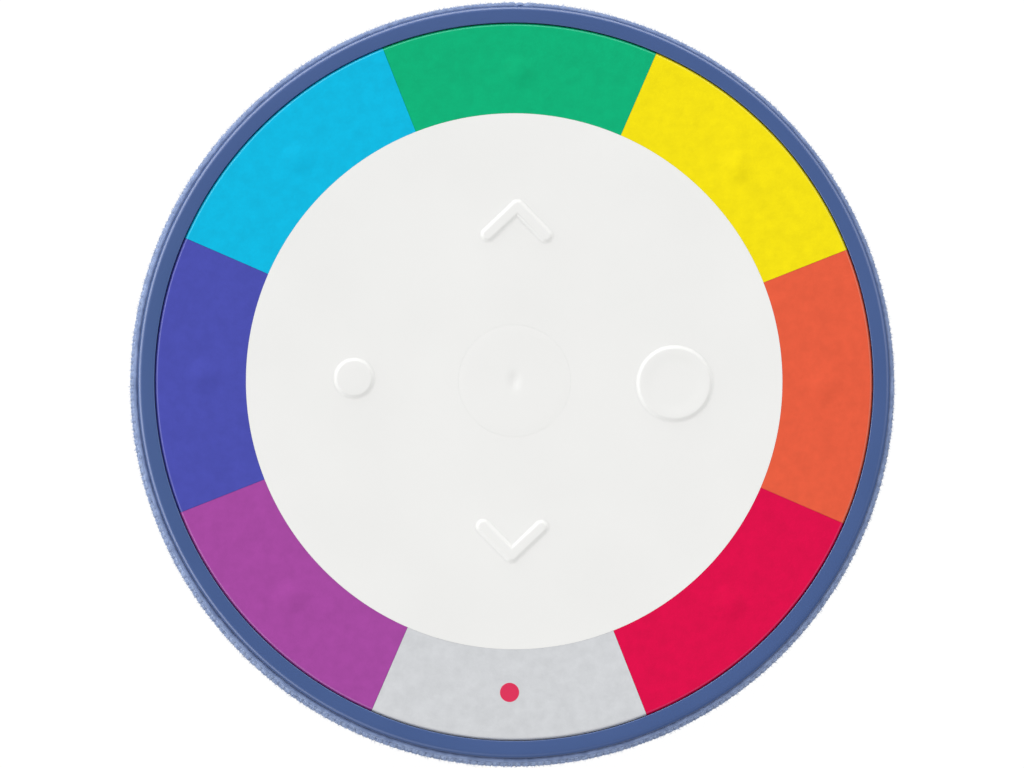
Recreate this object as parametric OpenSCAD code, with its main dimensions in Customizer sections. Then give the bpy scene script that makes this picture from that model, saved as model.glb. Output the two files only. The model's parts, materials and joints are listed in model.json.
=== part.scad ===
// Round portable sound player: eight coloured keys round a pale field of
// control marks, a blue rim, a knitted sleeve over the grille and a speaker
// that fires down. Its face is up; +Y is the side with the sockets.

/* [Body] */
// Widest diameter, over the knitted sleeve
body_d = 100; // [98:1:130]
// Height from the surface it stands on to the face of the keys
body_h = 33.2; // [33:0.1:45]
// Height at which the sleeve is widest
widest_z = 23; // [18:0.5:26]
// Wall of the grille frame under the sleeve
frame_wall = 1.6; // [1.2:0.1:1.8]

/* [Sleeve] */
// Thickness of the knitted sleeve
sleeve_t = 0.8; // [0.5:0.1:1.2]
// Room between the sleeve and the frame it is pulled over
sleeve_gap = 0.1; // [0.05:0.05:0.2]
// How far the sleeve's top edge stands outside the rim
sleeve_step = 0.55; // [0.3:0.05:0.7]

/* [Rim] */
// How far the rim's outside lies inside the widest diameter
rim_inset = 1.35; // [1.2:0.05:2]
// Width of the rim
rim_w = 2.2; // [2:0.1:3.5]
// Height of the rim above the sleeve's edge
rim_h = 2.3; // [2:0.1:3]
// Rounding of the rim's outer edge
rim_round = 0.7; // [0.3:0.05:1]
// Rounding of the rim's inner edge
rim_round_in = 0.25; // [0.1:0.05:0.6]

/* [Keys] */
// Dark gap between the keys and the rim
key_edge_gap = 0.2; // [0.15:0.05:0.8]
// Width of the ring of coloured keys
key_ring_w = 11.6; // [9:0.1:13]
// Thickness of the key sheet
sheet_t = 2; // [1.8:0.1:2.6]
// Rounding of the sheet's outer edge
sheet_round = 0.3; // [0.2:0.05:0.8]
// Gap at each parting line, as an angle
key_part_angle = 0.18; // [0.12:0.02:0.4]
// Travel of every key
key_travel = 0.8; // [0.5:0.1:0.9]
// Diameter of the finger dot on a coloured key
dot_d = 4.8; // [3:0.1:6]
// Height of the finger dot
dot_h = 0.4; // [0.2:0.05:0.8]
// Diameter of the record dot
record_dot_d = 2.5; // [1.5:0.1:4]
// Diameter of the plunger under each key
plunger_d = 6; // [4.5:0.1:6.6]
// Running clearance of a plunger in the deck
plunger_fit = 0.15; // [0.1:0.01:0.3]

/* [Control marks] */
// Distance of the four marks from the middle
mark_r = 20.7; // [19:0.1:24]
// Height of the marks above the face
mark_h = 0.4; // [0.2:0.05:1.2]
// Width of an arrow mark
arrow_w = 9.6; // [8:0.1:10.4]
// Height of an arrow mark
arrow_h = 5.8; // [5:0.1:7]
// Stroke of an arrow mark
arrow_stroke = 2.1; // [1.5:0.1:2.6]
// Diameter of the large round mark
large_mark_d = 10.1; // [8:0.1:11]
// Diameter of the small round mark
small_mark_d = 5.45; // [4:0.05:7]
// Diameter of the middle key
middle_key_d = 14.5; // [12:0.1:18]
// Clearance round each mark in the field
mark_gap = 0.12; // [0.08:0.01:0.3]

/* [Deck and main board] */
// Thickness of the housing's deck
deck_t = 1.3; // [1:0.1:1.6]
// Thickness of the main board
board_t = 1.2; // [0.8:0.1:1.6]
// Room above the main board, up to the deck
board_top_room = 1.9; // [1.9:0.1:3]
// Height of the tallest part under the main board
part_h = 2.4; // [2:0.1:3]
// Diameter of the carbon pill under a key
pill_d = 5.2; // [3:0.1:6]

/* [Battery] */
// Length of the cell
battery_l = 50; // [40:1:54]
// Width of the cell
battery_w = 34; // [24:1:38]
// Thickness of the cell
battery_t = 4.5; // [3.5:0.1:5.5]
// Thickness of the tray's floor
tray_t = 1; // [0.8:0.1:1.4]
// Thickness of the tray's sides
tray_wall = 1.2; // [0.8:0.1:2]

/* [Speaker] */
// Diameter of the speaker's frame
driver_d = 42.4; // [38:0.2:52]
// Depth of the speaker behind the baffle
driver_h = 7.2; // [6.6:0.1:8.4]
// Diameter of the magnet
magnet_d = 26; // [20:0.5:30]
// Travel of the speaker cone each way
cone_travel = 0.6; // [0.3:0.1:0.8]
// Thickness of the speaker baffle
baffle_t = 1.8; // [1.5:0.1:2.5]

/* [Base] */
// Height of the sound gap under the baffle
sound_gap = 4.4; // [4:0.1:6]
// Thickness of the base's floor
floor_t = 2; // [1.6:0.1:2.6]
// Diameter of each rubber foot
foot_d = 9; // [7:0.5:12]
// How far the feet stand below the floor
foot_proud = 0.8; // [0.5:0.1:1.5]
// How deep the feet sit in the floor
foot_sunk = 0.8; // [0.5:0.1:1]
// Number of sound slots, an even number
slot_count = 40; // [24:4:48]
// Width of each sound slot
slot_w = 3.6; // [2:0.1:4]

/* [Screws] */
// Diameter of the case screws
case_screw_d = 2.4; // [2:0.1:3]
// Length of the case screws
case_screw_l = 16; // [14:1:18]
// Diameter of the small screws
small_screw_d = 1.9; // [1.6:0.1:2.2]

/* [Sockets] */
// Distance of the side sockets from the middle one
socket_pitch = 11; // [10.4:0.1:11.6]
// Width of the socket plate
plate_w = 34; // [33:0.5:38]
// Height of the socket plate
plate_h = 8.5; // [7.6:0.1:8.6]
// Height of the socket axis above the socket board
socket_rise = 2.4; // [2.2:0.1:2.6]
// Bore of the headphone jack
jack_bore_d = 3.6; // [2.6:0.1:3.6]
// Travel of the power slider
slider_travel = 3; // [2:0.1:3.4]

/* [Hidden] */
$fn = 64;
BIG = 144;
fit = 0.1;
tiny = 0.05;

// Radii of the face
body_r = body_d / 2;
rim_r = body_r - rim_inset;
rim_in_r = rim_r - rim_w;
sheet_r = rim_in_r - key_edge_gap;
field_r = sheet_r - key_ring_w;
part_gap = 0.12;
plunger_r = plunger_d / 2;
dot_inset = 6.25;
key_r = sheet_r - dot_inset;

// Heights that hang from the face
face_z = body_h;
cap_z = face_z - sheet_t;
deck_z1 = cap_z - key_travel - 0.2;
deck_z0 = deck_z1 - deck_t;
board_z1 = deck_z0 - board_top_room;
board_z0 = board_z1 - board_t;
part_z = board_z0 - part_h;
battery_z1 = part_z - 0.2;
battery_z0 = battery_z1 - battery_t;
tray_z1 = battery_z0 - fit;
tray_z0 = tray_z1 - tray_t;
frame_z1 = deck_z0 + 0.5;
sleeve_z1 = face_z - rim_h - 0.2;
pad_t = 0.08;
pill_t = 0.45;
pill_z = board_z1 + pad_t + key_travel + tiny;
plunger_z = pill_z + pill_t;
lip_r = plunger_r + 0.55;
flange_z1 = cap_z + 0.7;

// Heights that stand on the feet
floor_z0 = foot_proud;
floor_z1 = floor_z0 + floor_t;
rim_seat_z = floor_z1 + 1.2;
baffle_z0 = floor_z1 + sound_gap;
baffle_z1 = baffle_z0 + baffle_t;
magnet_z1 = baffle_z1 + driver_h;
port_board_t = 1;
port_board_z0 = baffle_z1 + 1;
port_board_z1 = port_board_z0 + port_board_t;
socket_z = port_board_z1 + socket_rise;

// The sleeve's outside is an arc that is upright at its widest height
sleeve_dr = rim_inset - sleeve_step;
sleeve_dz = sleeve_z1 - widest_z;
skin_arc = (sleeve_dz * sleeve_dz + sleeve_dr * sleeve_dr) / (2 * sleeve_dr);
skin_x = body_r - skin_arc;
function skin_r(z, inset = 0) =
  skin_x + sqrt(pow(skin_arc - inset, 2) - pow(z - widest_z, 2));

frame_out = sleeve_t + sleeve_gap;
frame_in = frame_out + frame_wall;
flange_out = frame_in + fit;
flange_in = flange_out + 1;

// Screw places
boss_r = skin_r(baffle_z0, frame_in) - 7;
boss_angles = [22.5, 157.5, 202.5, 337.5];
corner_angles = [45, 135, 225, 315];
board_screw_r = 29;
foot_r = boss_r - 4;
case_shank_r = case_screw_d / 2;
small_shank_r = small_screw_d / 2;
small_bore_r = small_shank_r + tiny;
case_head_h = 1.8;
case_head_r = case_shank_r + 1.1;
case_head_z = floor_z0 + 0.3 + case_head_h;
small_head_r = small_shank_r + 0.85;
small_head_h = 1.1;
boss_top_r = 4.2;
boss_low_r = 3.2;
board_inset = 2.2;
board_r = sheet_r - board_inset;
baffle_r = skin_r(baffle_z0, frame_in) - 0.2;

// Places of the sockets, worked out from the plate's outside
plate_y = skin_r(socket_z);
port_front_y = plate_y - 7.9;
port_depth = 11.5;
port_back_y = port_front_y - port_depth;
port_half_w = 15.4;
port_screw_x = 13.4;
port_screw_y = port_back_y + 1.95;
jack_x = socket_pitch;
slider_x = -socket_pitch - slider_travel / 2;
jack_nose_r = jack_bore_d / 2 + 0.9;
jack_mouth_y = sqrt(plate_y * plate_y - jack_x * jack_x) - 0.35;
usb_mouth_y = plate_y - 0.75;
plug_x = 30;
wire_r = 0.5;
wire_end = 0.12;

// Speaker radii
driver_r = driver_d / 2;
cone_r = driver_r - 5.2;
roll_r = driver_r - 3.75;
driver_screw_r = driver_r - 1.85;
magnet_r = magnet_d / 2;
coil_r = 5.1;
magnet_z0 = magnet_z1 - 3;
driver_flange_t = 0.8;

// The keys round the edge, by the angle of their middle
function polar(r, a) = [r * cos(a), r * sin(a)];
function arc(x, y, r, a0, a1, n) =
  [for (i = [0:n]) [x, y] + polar(r, a0 + (a1 - a0) * i / n)];
function unit(v) = v / norm(v);
function bezier(p, t) = p[0] * pow(1 - t, 3) + p[1] * 3 * t * pow(1 - t, 2)
  + p[2] * 3 * t * t * (1 - t) + p[3] * pow(t, 3);
function bezier_path(p, n) = [for (i = [0:n]) bezier(p, i / n)];

// ---- Shared shapes ----

// A shell that follows the sleeve's outside, between two depths below it
module skin_shell(out, in, z0, z1) {
  rotate_extrude($fn = BIG) intersection() {
    difference() {
      translate([skin_x, widest_z]) circle(skin_arc - out, $fn = 720);
      translate([skin_x, widest_z]) circle(skin_arc - in, $fn = 720);
    }
    translate([body_r / 2, z0]) square([body_r, z1 - z0]);
  }
}

// A bar with round ends, standing on the X axis direction w and height h
module pill_2d(w, h) {
  square([w - h, h], center = true);
  for (s = [-1, 1]) translate([s * (w - h) / 2, 0]) circle(h / 2);
}

// A pill-shaped bar that points along +Y from y0 to y1, round the socket axis
module side_pill(x, w, h, y0, y1) {
  translate([x, y1, socket_z]) rotate([90, 0, 0]) linear_extrude(y1 - y0) pill_2d(w, h);
}

// A screw that points up from its seat at z = 0, with a cross in its head
module screw(shank, length, head, head_h) {
  difference() {
    union() {
      translate([0, 0, -head_h / 2]) cylinder(r = shank, h = length + head_h / 2);
      translate([0, 0, -head_h]) cylinder(r = head, h = head_h);
    }
    for (a = [0, 90]) rotate([0, 0, a])
      translate([-head * 0.6, -head * 0.13, -head_h - 1]) cube([head * 1.2, head * 0.26, 1.6]);
  }
}

// A round-section wire along a path
module wire(path, r, side) {
  n = 8;
  last = len(path) - 1;
  rings = [for (i = [0:last]) let (
    t = unit(path[min(i + 1, last)] - path[max(i - 1, 0)]),
    u = unit(cross(side, t)),
    v = cross(t, u)
  ) each [for (k = [0:n - 1]) path[i] + r * (cos(360 * k / n) * u + sin(360 * k / n) * v)]];
  sides = [for (i = [0:last - 1], k = [0:n - 1])
    [i * n + k, (i + 1) * n + k, (i + 1) * n + (k + 1) % n, i * n + (k + 1) % n]];
  polyhedron(rings, concat(sides, [[for (k = [0:n - 1]) k]],
    [[for (k = [n - 1:-1:0]) last * n + k]]));
}

module at_bosses() {
  for (a = boss_angles) translate(concat(polar(boss_r, a), [0])) children();
}

module at_corners(r) {
  for (a = corner_angles) translate(concat(polar(r, a), [0])) children();
}

// ---- Keys ----

// The part of every key under the sheet: plunger and the lip that holds it in
module plunger() {
  translate([0, 0, plunger_z]) cylinder(r = plunger_r, h = cap_z + tiny - plunger_z);
  translate([0, 0, plunger_z]) cylinder(r = lip_r, h = deck_z0 - 0.15 - plunger_z);
}

module pill() {
  color("#2b2b2e") translate([0, 0, pill_z]) cylinder(d = pill_d, h = pill_t);
}

// One eighth of the coloured ring, with its middle on the +X axis
module ring_key(tint, dotted) {
  half = 22.5 - key_part_angle / 2;
  rise = dot_d * dot_d / (8 * dot_h) + dot_h / 2;
  color(tint) {
    rotate([0, 0, -half]) rotate_extrude(angle = 2 * half, $fn = BIG)
      polygon(concat(
        [[field_r + part_gap, cap_z], [sheet_r, cap_z]],
        arc(sheet_r - sheet_round, face_z - sheet_round, sheet_round, 0, 90, 5),
        [[field_r + part_gap, face_z]]));
    translate([key_r, 0, 0]) plunger();
    if (dotted) translate([key_r, 0, 0]) intersection() {
      translate([0, 0, face_z + dot_h - rise]) sphere(rise, $fn = 96);
      translate([0, 0, face_z - tiny]) cylinder(d = dot_d + 2, h = dot_h + 1);
    }
  }
  translate([key_r, 0, 0]) pill();
}

module arrow_2d(grow = 0) {
  r = arrow_stroke / 2;
  x = arrow_w / 2 - r;
  y = arrow_h - 2 * r;
  reach = norm([x, y]);
  for (s = [-1, 1]) translate([0, arrow_h / 2 - r]) {
    rotate([0, 0, s > 0 ? -atan2(y, x) : 180 + atan2(y, x)])
      translate([0, -r - grow]) square([reach, 2 * (r + grow)]);
    translate([s * x, -y]) circle(r + grow, $fn = 48);
  }
  translate([0, arrow_h / 2 - r]) circle(r + grow, $fn = 48);
}

// The foot of a control key: plunger and the flange under the field
module control_foot(flange_r) {
  plunger();
  translate([0, 0, cap_z - 0.15]) cylinder(r = flange_r, h = flange_z1 - cap_z + 0.15);
}

control_flange_r = norm([arrow_w, arrow_h]) / 2 + 0.1;
middle_flange_r = middle_key_d / 2 + 0.7;

module arrow_key(turn) {
  color("#efefed") rotate([0, 0, turn]) translate([0, mark_r, 0]) {
    control_foot(control_flange_r);
    translate([0, 0, cap_z]) linear_extrude(sheet_t + mark_h) arrow_2d();
  }
  rotate([0, 0, turn]) translate([0, mark_r, 0]) pill();
}

module round_key(x, d, dish) {
  color("#efefed") translate([x, 0, 0]) difference() {
    union() {
      control_foot(control_flange_r);
      translate([0, 0, cap_z]) cylinder(d = d, h = sheet_t + mark_h);
    }
    if (dish > 0) translate([0, 0, face_z + mark_h - dish]) cylinder(d = d - 1.6, h = dish + 1);
  }
  translate([x, 0, 0]) pill();
}

module key_green() { rotate([0, 0, 90]) ring_key("#10b57c", true); }
module key_yellow() { rotate([0, 0, 45]) ring_key("#f3e11e", true); }
module key_orange() { ring_key("#e56146", true); }
module key_red() { rotate([0, 0, -45]) ring_key("#dd0c4d", true); }
module key_record() { rotate([0, 0, -90]) ring_key("#d1d5d8", false); }
module key_purple() { rotate([0, 0, -135]) ring_key("#a64da0", true); }
module key_blue() { rotate([0, 0, 180]) ring_key("#5057b1", true); }
module key_sky() { rotate([0, 0, 135]) ring_key("#09bde5", true); }
module key_up() { arrow_key(0); }
module key_down() { arrow_key(180); }
module key_quieter() { round_key(-mark_r, small_mark_d, 0); }
module key_louder() { round_key(mark_r, large_mark_d, 0.3); }

module key_play() {
  color("#efefed") difference() {
    union() {
      control_foot(middle_flange_r);
      translate([0, 0, cap_z]) cylinder(d = middle_key_d, h = sheet_t + 0.08);
    }
    translate([0, 0, face_z - 0.3]) linear_extrude(1) rotate([0, 0, 90]) pill_2d(1.7, 0.9);
  }
  pill();
}

module keypad_field() {
  color("#f4f4f2") difference() {
    union() {
      translate([0, 0, cap_z]) cylinder(r = field_r, h = sheet_t, $fn = BIG);
      translate([0, 0, deck_z1]) difference() {
        cylinder(r = field_r - 0.6, h = cap_z - deck_z1 + tiny, $fn = BIG);
        translate([0, 0, -1]) cylinder(r = field_r - 2.1, h = 4, $fn = BIG);
      }
      at_corners(mark_r * 0.58) translate([0, 0, deck_z1])
        cylinder(r = 2.2, h = cap_z - deck_z1 + tiny);
    }
    for (a = [0, 180]) rotate([0, 0, a]) translate([0, mark_r, cap_z - 1])
      linear_extrude(sheet_t + 2) arrow_2d(mark_gap);
    translate([-mark_r, 0, cap_z - 1]) cylinder(d = small_mark_d + 2 * mark_gap, h = sheet_t + 2);
    translate([mark_r, 0, cap_z - 1]) cylinder(d = large_mark_d + 2 * mark_gap, h = sheet_t + 2);
    translate([0, 0, cap_z - 1]) cylinder(d = middle_key_d + 2 * mark_gap, h = sheet_t + 2);
    for (a = [0:90:270]) rotate([0, 0, a]) translate([mark_r, 0, cap_z - 1])
      cylinder(r = control_flange_r + mark_gap, h = flange_z1 - cap_z + 1 + mark_gap);
    translate([0, 0, cap_z - 1])
      cylinder(r = middle_flange_r + mark_gap, h = flange_z1 - cap_z + 1 + mark_gap);
  }
}

// ---- Shells ----

// Rim, deck and the long screw bosses, in one moulding
module upper_housing() {
  neck_r = skin_r(sleeve_z1, sleeve_t) - 0.2;
  spigot_r = skin_r(deck_z0, frame_in) - 0.2;
  under_z = face_z - rim_h;
  color("#4a6296") difference() {
    union() {
      rotate_extrude($fn = BIG) polygon(concat(
        [[0, deck_z0], [spigot_r - 1.5, deck_z0], [spigot_r - 1.5, deck_z0 - 0.9],
          [spigot_r, deck_z0 - 0.9], [spigot_r, frame_z1], [neck_r, frame_z1],
          [neck_r, under_z], [rim_r, under_z]],
        arc(rim_r - rim_round, face_z - rim_round, rim_round, 0, 90, 6),
        arc(rim_in_r + rim_round_in, face_z - rim_round_in, rim_round_in, 90, 180, 4),
        [[rim_in_r, deck_z1], [0, deck_z1]]));
      at_bosses() {
        translate([0, 0, tray_z1 + fit]) cylinder(r = boss_top_r, h = deck_z0 + tiny - tray_z1 - fit);
        translate([0, 0, baffle_z1]) cylinder(r = boss_low_r, h = tray_z1 + 1 - baffle_z1);
      }
      at_corners(board_screw_r) translate([0, 0, board_z1])
        cylinder(r = 2.6, h = board_top_room + tiny);
    }
    at_bosses() translate([0, 0, baffle_z1 - 1])
      cylinder(r = case_shank_r + tiny, h = case_head_z + case_screw_l - baffle_z1 + 2);
    at_corners(board_screw_r) translate([0, 0, board_z1 - 1])
      cylinder(r = small_bore_r, h = board_top_room + 1.7);
    for (a = [0:45:315]) rotate([0, 0, a]) translate([key_r, 0, deck_z0 - 1])
      cylinder(r = plunger_r + plunger_fit, h = deck_t + 2);
    for (a = [0:90:270]) rotate([0, 0, a]) translate([mark_r, 0, deck_z0 - 1])
      cylinder(r = plunger_r + plunger_fit, h = deck_t + 2);
    translate([0, 0, deck_z0 - 1]) cylinder(r = plunger_r + plunger_fit, h = deck_t + 2);
  }
}

// The ring wall under the sleeve, slotted all round below the baffle
module grille_frame() {
  slot_z0 = rim_seat_z + 0.8;
  color("#3c4048") difference() {
    skin_shell(frame_out, frame_in, rim_seat_z, frame_z1);
    for (i = [0:slot_count / 2 - 1]) rotate([0, 0, 360 / slot_count * (i + 0.5)])
      translate([-body_r - 1, -slot_w / 2, slot_z0])
        cube([body_d + 2, slot_w, baffle_z0 - 0.3 - slot_z0]);
    side_pill(0, plate_w + 0.3, plate_h + 0.3, body_r / 2, body_r + 1);
  }
}

module knit_sleeve() {
  color("#8f9fc0") difference() {
    skin_shell(0, sleeve_t, rim_seat_z + fit, sleeve_z1);
    side_pill(0, plate_w + 0.4, plate_h + 0.4, body_r / 2, body_r + 1);
  }
}

// Floor, sound deflector and the lower screw bosses
module base_shell() {
  seat_r = skin_r(rim_seat_z, 0) - 0.2;
  inner_r = skin_r(rim_seat_z, frame_in) - 0.9;
  color("#33373e") difference() {
    union() {
      rotate_extrude($fn = BIG) polygon([
        [0, floor_z0], [seat_r - 3.4, floor_z0], [seat_r - 2.8, floor_z0 + 0.25],
        [seat_r, rim_seat_z - 0.3], [seat_r - 0.25, rim_seat_z], [inner_r, rim_seat_z],
        [inner_r, floor_z1], [0, floor_z1]]);
      translate([0, 0, floor_z1 - tiny]) cylinder(r1 = 13, r2 = 3, h = sound_gap - 1.6 + tiny);
      at_bosses() translate([0, 0, floor_z1 - tiny]) cylinder(r = boss_top_r, h = sound_gap + tiny);
    }
    at_bosses() {
      translate([0, 0, floor_z0 - 1])
        cylinder(r = case_head_r + 0.25, h = case_head_z - floor_z0 + 1);
      translate([0, 0, floor_z0]) cylinder(r = case_shank_r + 0.2, h = baffle_z0);
    }
    at_corners(foot_r) translate([0, 0, floor_z0 - 1])
      cylinder(r = foot_d / 2 + fit, h = foot_sunk + 1);
  }
}

module rubber_feet() {
  color("#26282c") at_corners(foot_r)
    rotate_extrude() polygon([
      [0, 0], [foot_d / 2 - 0.6, 0], [foot_d / 2 - 0.1, 0.5], [foot_d / 2, foot_proud],
      [foot_d / 2, foot_proud + foot_sunk], [0, foot_proud + foot_sunk]]);
}

module case_screws() {
  color("#b8babd") at_bosses() translate([0, 0, case_head_z])
    screw(case_shank_r, case_screw_l, case_head_r, case_head_h);
}

// ---- Main board ----

module main_board() {
  color("#1f6b45") difference() {
    translate([0, 0, board_z0]) cylinder(r = board_r, h = board_t, $fn = BIG);
    at_bosses() translate([0, 0, board_z0 - 1]) cylinder(r = boss_top_r + 0.4, h = board_t + 2);
    at_corners(board_screw_r) translate([0, 0, board_z0 - 1])
      cylinder(r = small_shank_r + 0.15, h = board_t + 2);
  }
}

module board_screws() {
  color("#b8babd") at_corners(board_screw_r) translate([0, 0, board_z0])
    screw(small_shank_r, board_t + board_top_room + 0.5, small_head_r, small_head_h);
}

module contact_pads() {
  color("#c9a24a") translate([0, 0, board_z1]) {
    for (a = [0:45:315]) rotate([0, 0, a]) translate([key_r, 0, 0])
      cylinder(d = pill_d + 0.4, h = pad_t);
    for (a = [0:90:270]) rotate([0, 0, a]) translate([mark_r, 0, 0])
      cylinder(d = pill_d + 0.4, h = pad_t);
    cylinder(d = pill_d + 0.4, h = pad_t);
  }
}

// A chip under the main board, with its legs
module chip(x, y, l, w, h, legs) {
  color("#1d1e20") translate([x - l / 2, y - w / 2, board_z0 - h]) cube([l, w, h]);
  pitch = w / (legs + 1);
  for (s = [-1, 1], i = [1:legs])
    color("#b8babd") translate([x + s * (l / 2 + 0.45) - 0.45, y - w / 2 + i * pitch - 0.2,
      board_z0 - 0.35]) cube([0.9, 0.4, 0.35]);
}

module processor_chip() { chip(8, -3, 12, 12, 1.4, 10); }
module memory_chip() { chip(-12, 4, 8, 10, 1.1, 6); }
module amplifier_chip() { chip(19, 6, 5, 5, 1, 4); }

module microphone() {
  color("#c8c9cb") translate([22 - 1.9, -board_r + 10, board_z0 - 1.1]) cube([3.8, 3, 1.1]);
}

// ---- Battery ----

module battery_tray() {
  l = battery_l + 2 * fit;
  w = battery_w + 2 * fit;
  side_h = battery_t - 1;
  leg_in = boss_low_r + 0.2;
  leg_out = boss_top_r + 0.4;
  color("#d8d9d6") difference() {
    union() {
      translate([-l / 2 - tray_wall, -w / 2 - tray_wall, tray_z0])
        cube([l + 2 * tray_wall, w + 2 * tray_wall, tray_t + side_h]);
      for (sx = [-1, 1], sy = [-1, 1])
        translate([sx > 0 ? l / 2 : -boss_r * cos(22.5), sy * boss_r * sin(22.5) - 3, tray_z0])
          cube([boss_r * cos(22.5) - l / 2, 6, tray_t]);
      at_bosses() translate([0, 0, baffle_z1]) cylinder(r = leg_out, h = tray_z1 - baffle_z1);
    }
    translate([-l / 2, -w / 2, tray_z1]) cube([l, w, side_h + 1]);
    translate([-l / 2 - tray_wall - 1, -4, tray_z1 + 1]) cube([tray_wall + 2, 8, side_h]);
    for (x = [-14, 0, 14]) translate([x, 0, tray_z0 - 1]) cylinder(r = 4, h = tray_t + 2);
    at_bosses() translate([0, 0, baffle_z1 - 1]) cylinder(r = leg_in, h = tray_z1 - baffle_z1 + 2);
  }
}

module battery_pack() {
  color("#9fa4ab") translate([-battery_l / 2, -battery_w / 2, battery_z0])
    cube([battery_l, battery_w, battery_t]);
}

module battery_leads() {
  z = battery_z0 + battery_t / 2;
  for (y = [-1.5, 1.5]) color(y > 0 ? "#b3202a" : "#1d1e20")
    wire(bezier_path([[-battery_l / 2 - wire_end, y, z], [-plug_x + 1.5, y, z],
      [-plug_x, y, z - 0.5], [-plug_x, y, part_z - wire_end]], 12), wire_r, [0, 1, 0]);
}

module plug_block(x) {
  color("#e8e6df") translate([x - 2.4, -3.4, part_z]) cube([4.8, 6.8, part_h]);
}

module battery_plug() { plug_block(-plug_x); }
module speaker_plug() { plug_block(plug_x); }

// ---- Speaker, facing down ----

module speaker_baffle() {
  color("#3c4048") difference() {
    union() {
      translate([0, 0, baffle_z0]) cylinder(r = baffle_r, h = baffle_t, $fn = BIG);
      at_corners(driver_screw_r) translate([0, 0, baffle_z0 - 1.6])
        cylinder(r = 2.2, h = 1.6 + tiny);
      for (s = [-1, 1]) translate([s * port_screw_x, port_screw_y, baffle_z1 - tiny])
        cylinder(r = 2.3, h = port_board_z0 - baffle_z1 + tiny);
    }
    translate([0, 0, baffle_z0 - 1]) cylinder(r = roll_r, h = baffle_t + 2);
    at_corners(driver_screw_r) translate([0, 0, baffle_z0 - 2])
      cylinder(r = small_bore_r, h = baffle_t + 4);
    for (s = [-1, 1]) translate([s * port_screw_x, port_screw_y, baffle_z0 - 1])
      cylinder(r = small_bore_r, h = 6);
    at_bosses() translate([0, 0, baffle_z0 - 1]) cylinder(r = case_shank_r + 0.3, h = baffle_t + 2);
  }
}

module speaker_basket() {
  z0 = baffle_z1;
  z1 = magnet_z0;
  color("#2c2f34") difference() {
    union() {
      rotate_extrude() polygon([
        [roll_r - 0.1, z0], [driver_r, z0], [driver_r, z0 + driver_flange_t],
        [roll_r + 0.35, z0 + driver_flange_t], [magnet_r, z1 - 0.8], [magnet_r, z1],
        [coil_r + 1, z1], [coil_r + 1, z1 - 0.8], [magnet_r - 1, z1 - 0.8],
        [roll_r - 0.1, z0 + driver_flange_t]]);
      translate([roll_r, -3, z0 + 0.3]) cube([driver_r - roll_r, 6, 1.5]);
    }
    for (a = [45, 135]) rotate([0, 0, a]) translate([-roll_r, -3.6, z0 + driver_flange_t + 0.5])
      cube([2 * roll_r, 7.2, z1 - 0.8 - z0 - driver_flange_t - 1]);
    at_corners(driver_screw_r) translate([0, 0, z0 - 1])
      cylinder(r = small_shank_r + 0.15, h = driver_flange_t + 2);
  }
}

module speaker_magnet() {
  color("#8a8d92") rotate_extrude() polygon([
    [0, magnet_z0 - 0.8], [coil_r - 0.7, magnet_z0 - 0.8], [coil_r - 0.7, magnet_z1 - 0.8],
    [coil_r + 1, magnet_z1 - 0.8], [coil_r + 1, magnet_z0], [magnet_r, magnet_z0],
    [magnet_r, magnet_z1 - 0.4], [magnet_r - 0.4, magnet_z1], [0, magnet_z1]]);
}

module speaker_cone() {
  low = baffle_z1 + 0.2;
  high = magnet_z0 - 0.8 - cone_travel - 0.9;
  color("#1f2124") rotate_extrude() polygon([
    [cone_r, low], [cone_r, low + 0.45], [coil_r + 0.3, high + 0.3],
    [coil_r + 0.3, magnet_z1 - 0.8 - cone_travel - 0.2],
    [coil_r - 0.2, magnet_z1 - 0.8 - cone_travel - 0.2], [coil_r - 0.2, high + 0.35],
    [0, high + 0.1], [0, high - 0.4], [coil_r - 0.6, high - 0.2], [cone_r - 0.6, low]]);
}

module speaker_surround() {
  mid = (cone_r + roll_r - 0.1) / 2;
  half = (roll_r - 0.1 - cone_r) / 2;
  z = baffle_z1 + 0.2;
  color("#2a2b2e") rotate_extrude() polygon(concat(
    [[cone_r + tiny, z + 0.4]], arc(mid, z, half - 0.1, 180, 360, 10),
    [[roll_r - 0.15, z + 0.4], [mid + half - 0.5, z + 0.4]],
    arc(mid, z, half - 0.5, 360, 180, 8), [[mid - half + 0.5, z + 0.4]]));
}

module speaker_screws() {
  color("#b8babd") at_corners(driver_screw_r) translate([0, 0, baffle_z1 + driver_flange_t])
    mirror([0, 0, 1]) screw(small_shank_r, 3.8, small_head_r - 0.25, small_head_h);
}

module speaker_leads() {
  x = driver_r - 1.7;
  z = baffle_z1 + 1.9 + wire_end;
  for (y = [-1.3, 1.3]) color(y > 0 ? "#b3202a" : "#1d1e20")
    wire(bezier_path([[x, y, z], [x + 0.5, y, z + 3.5], [plug_x, y, z + 1.5],
      [plug_x, y, part_z - wire_end]], 14), wire_r, [0, 1, 0]);
}

// ---- Sockets ----

module port_board() {
  color("#1f6b45") difference() {
    translate([-port_half_w, port_back_y, port_board_z0])
      cube([2 * port_half_w, port_depth, port_board_t]);
    for (s = [-1, 1]) translate([s * port_screw_x, port_screw_y, port_board_z0 - 1])
      cylinder(r = small_shank_r + 0.15, h = port_board_t + 2);
  }
}

module port_board_screws() {
  for (s = [-1, 1]) color("#b8babd") translate([s * port_screw_x, port_screw_y, port_board_z1])
    mirror([0, 0, 1]) screw(small_shank_r, 3.6, small_head_r - 0.35, small_head_h);
}

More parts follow.
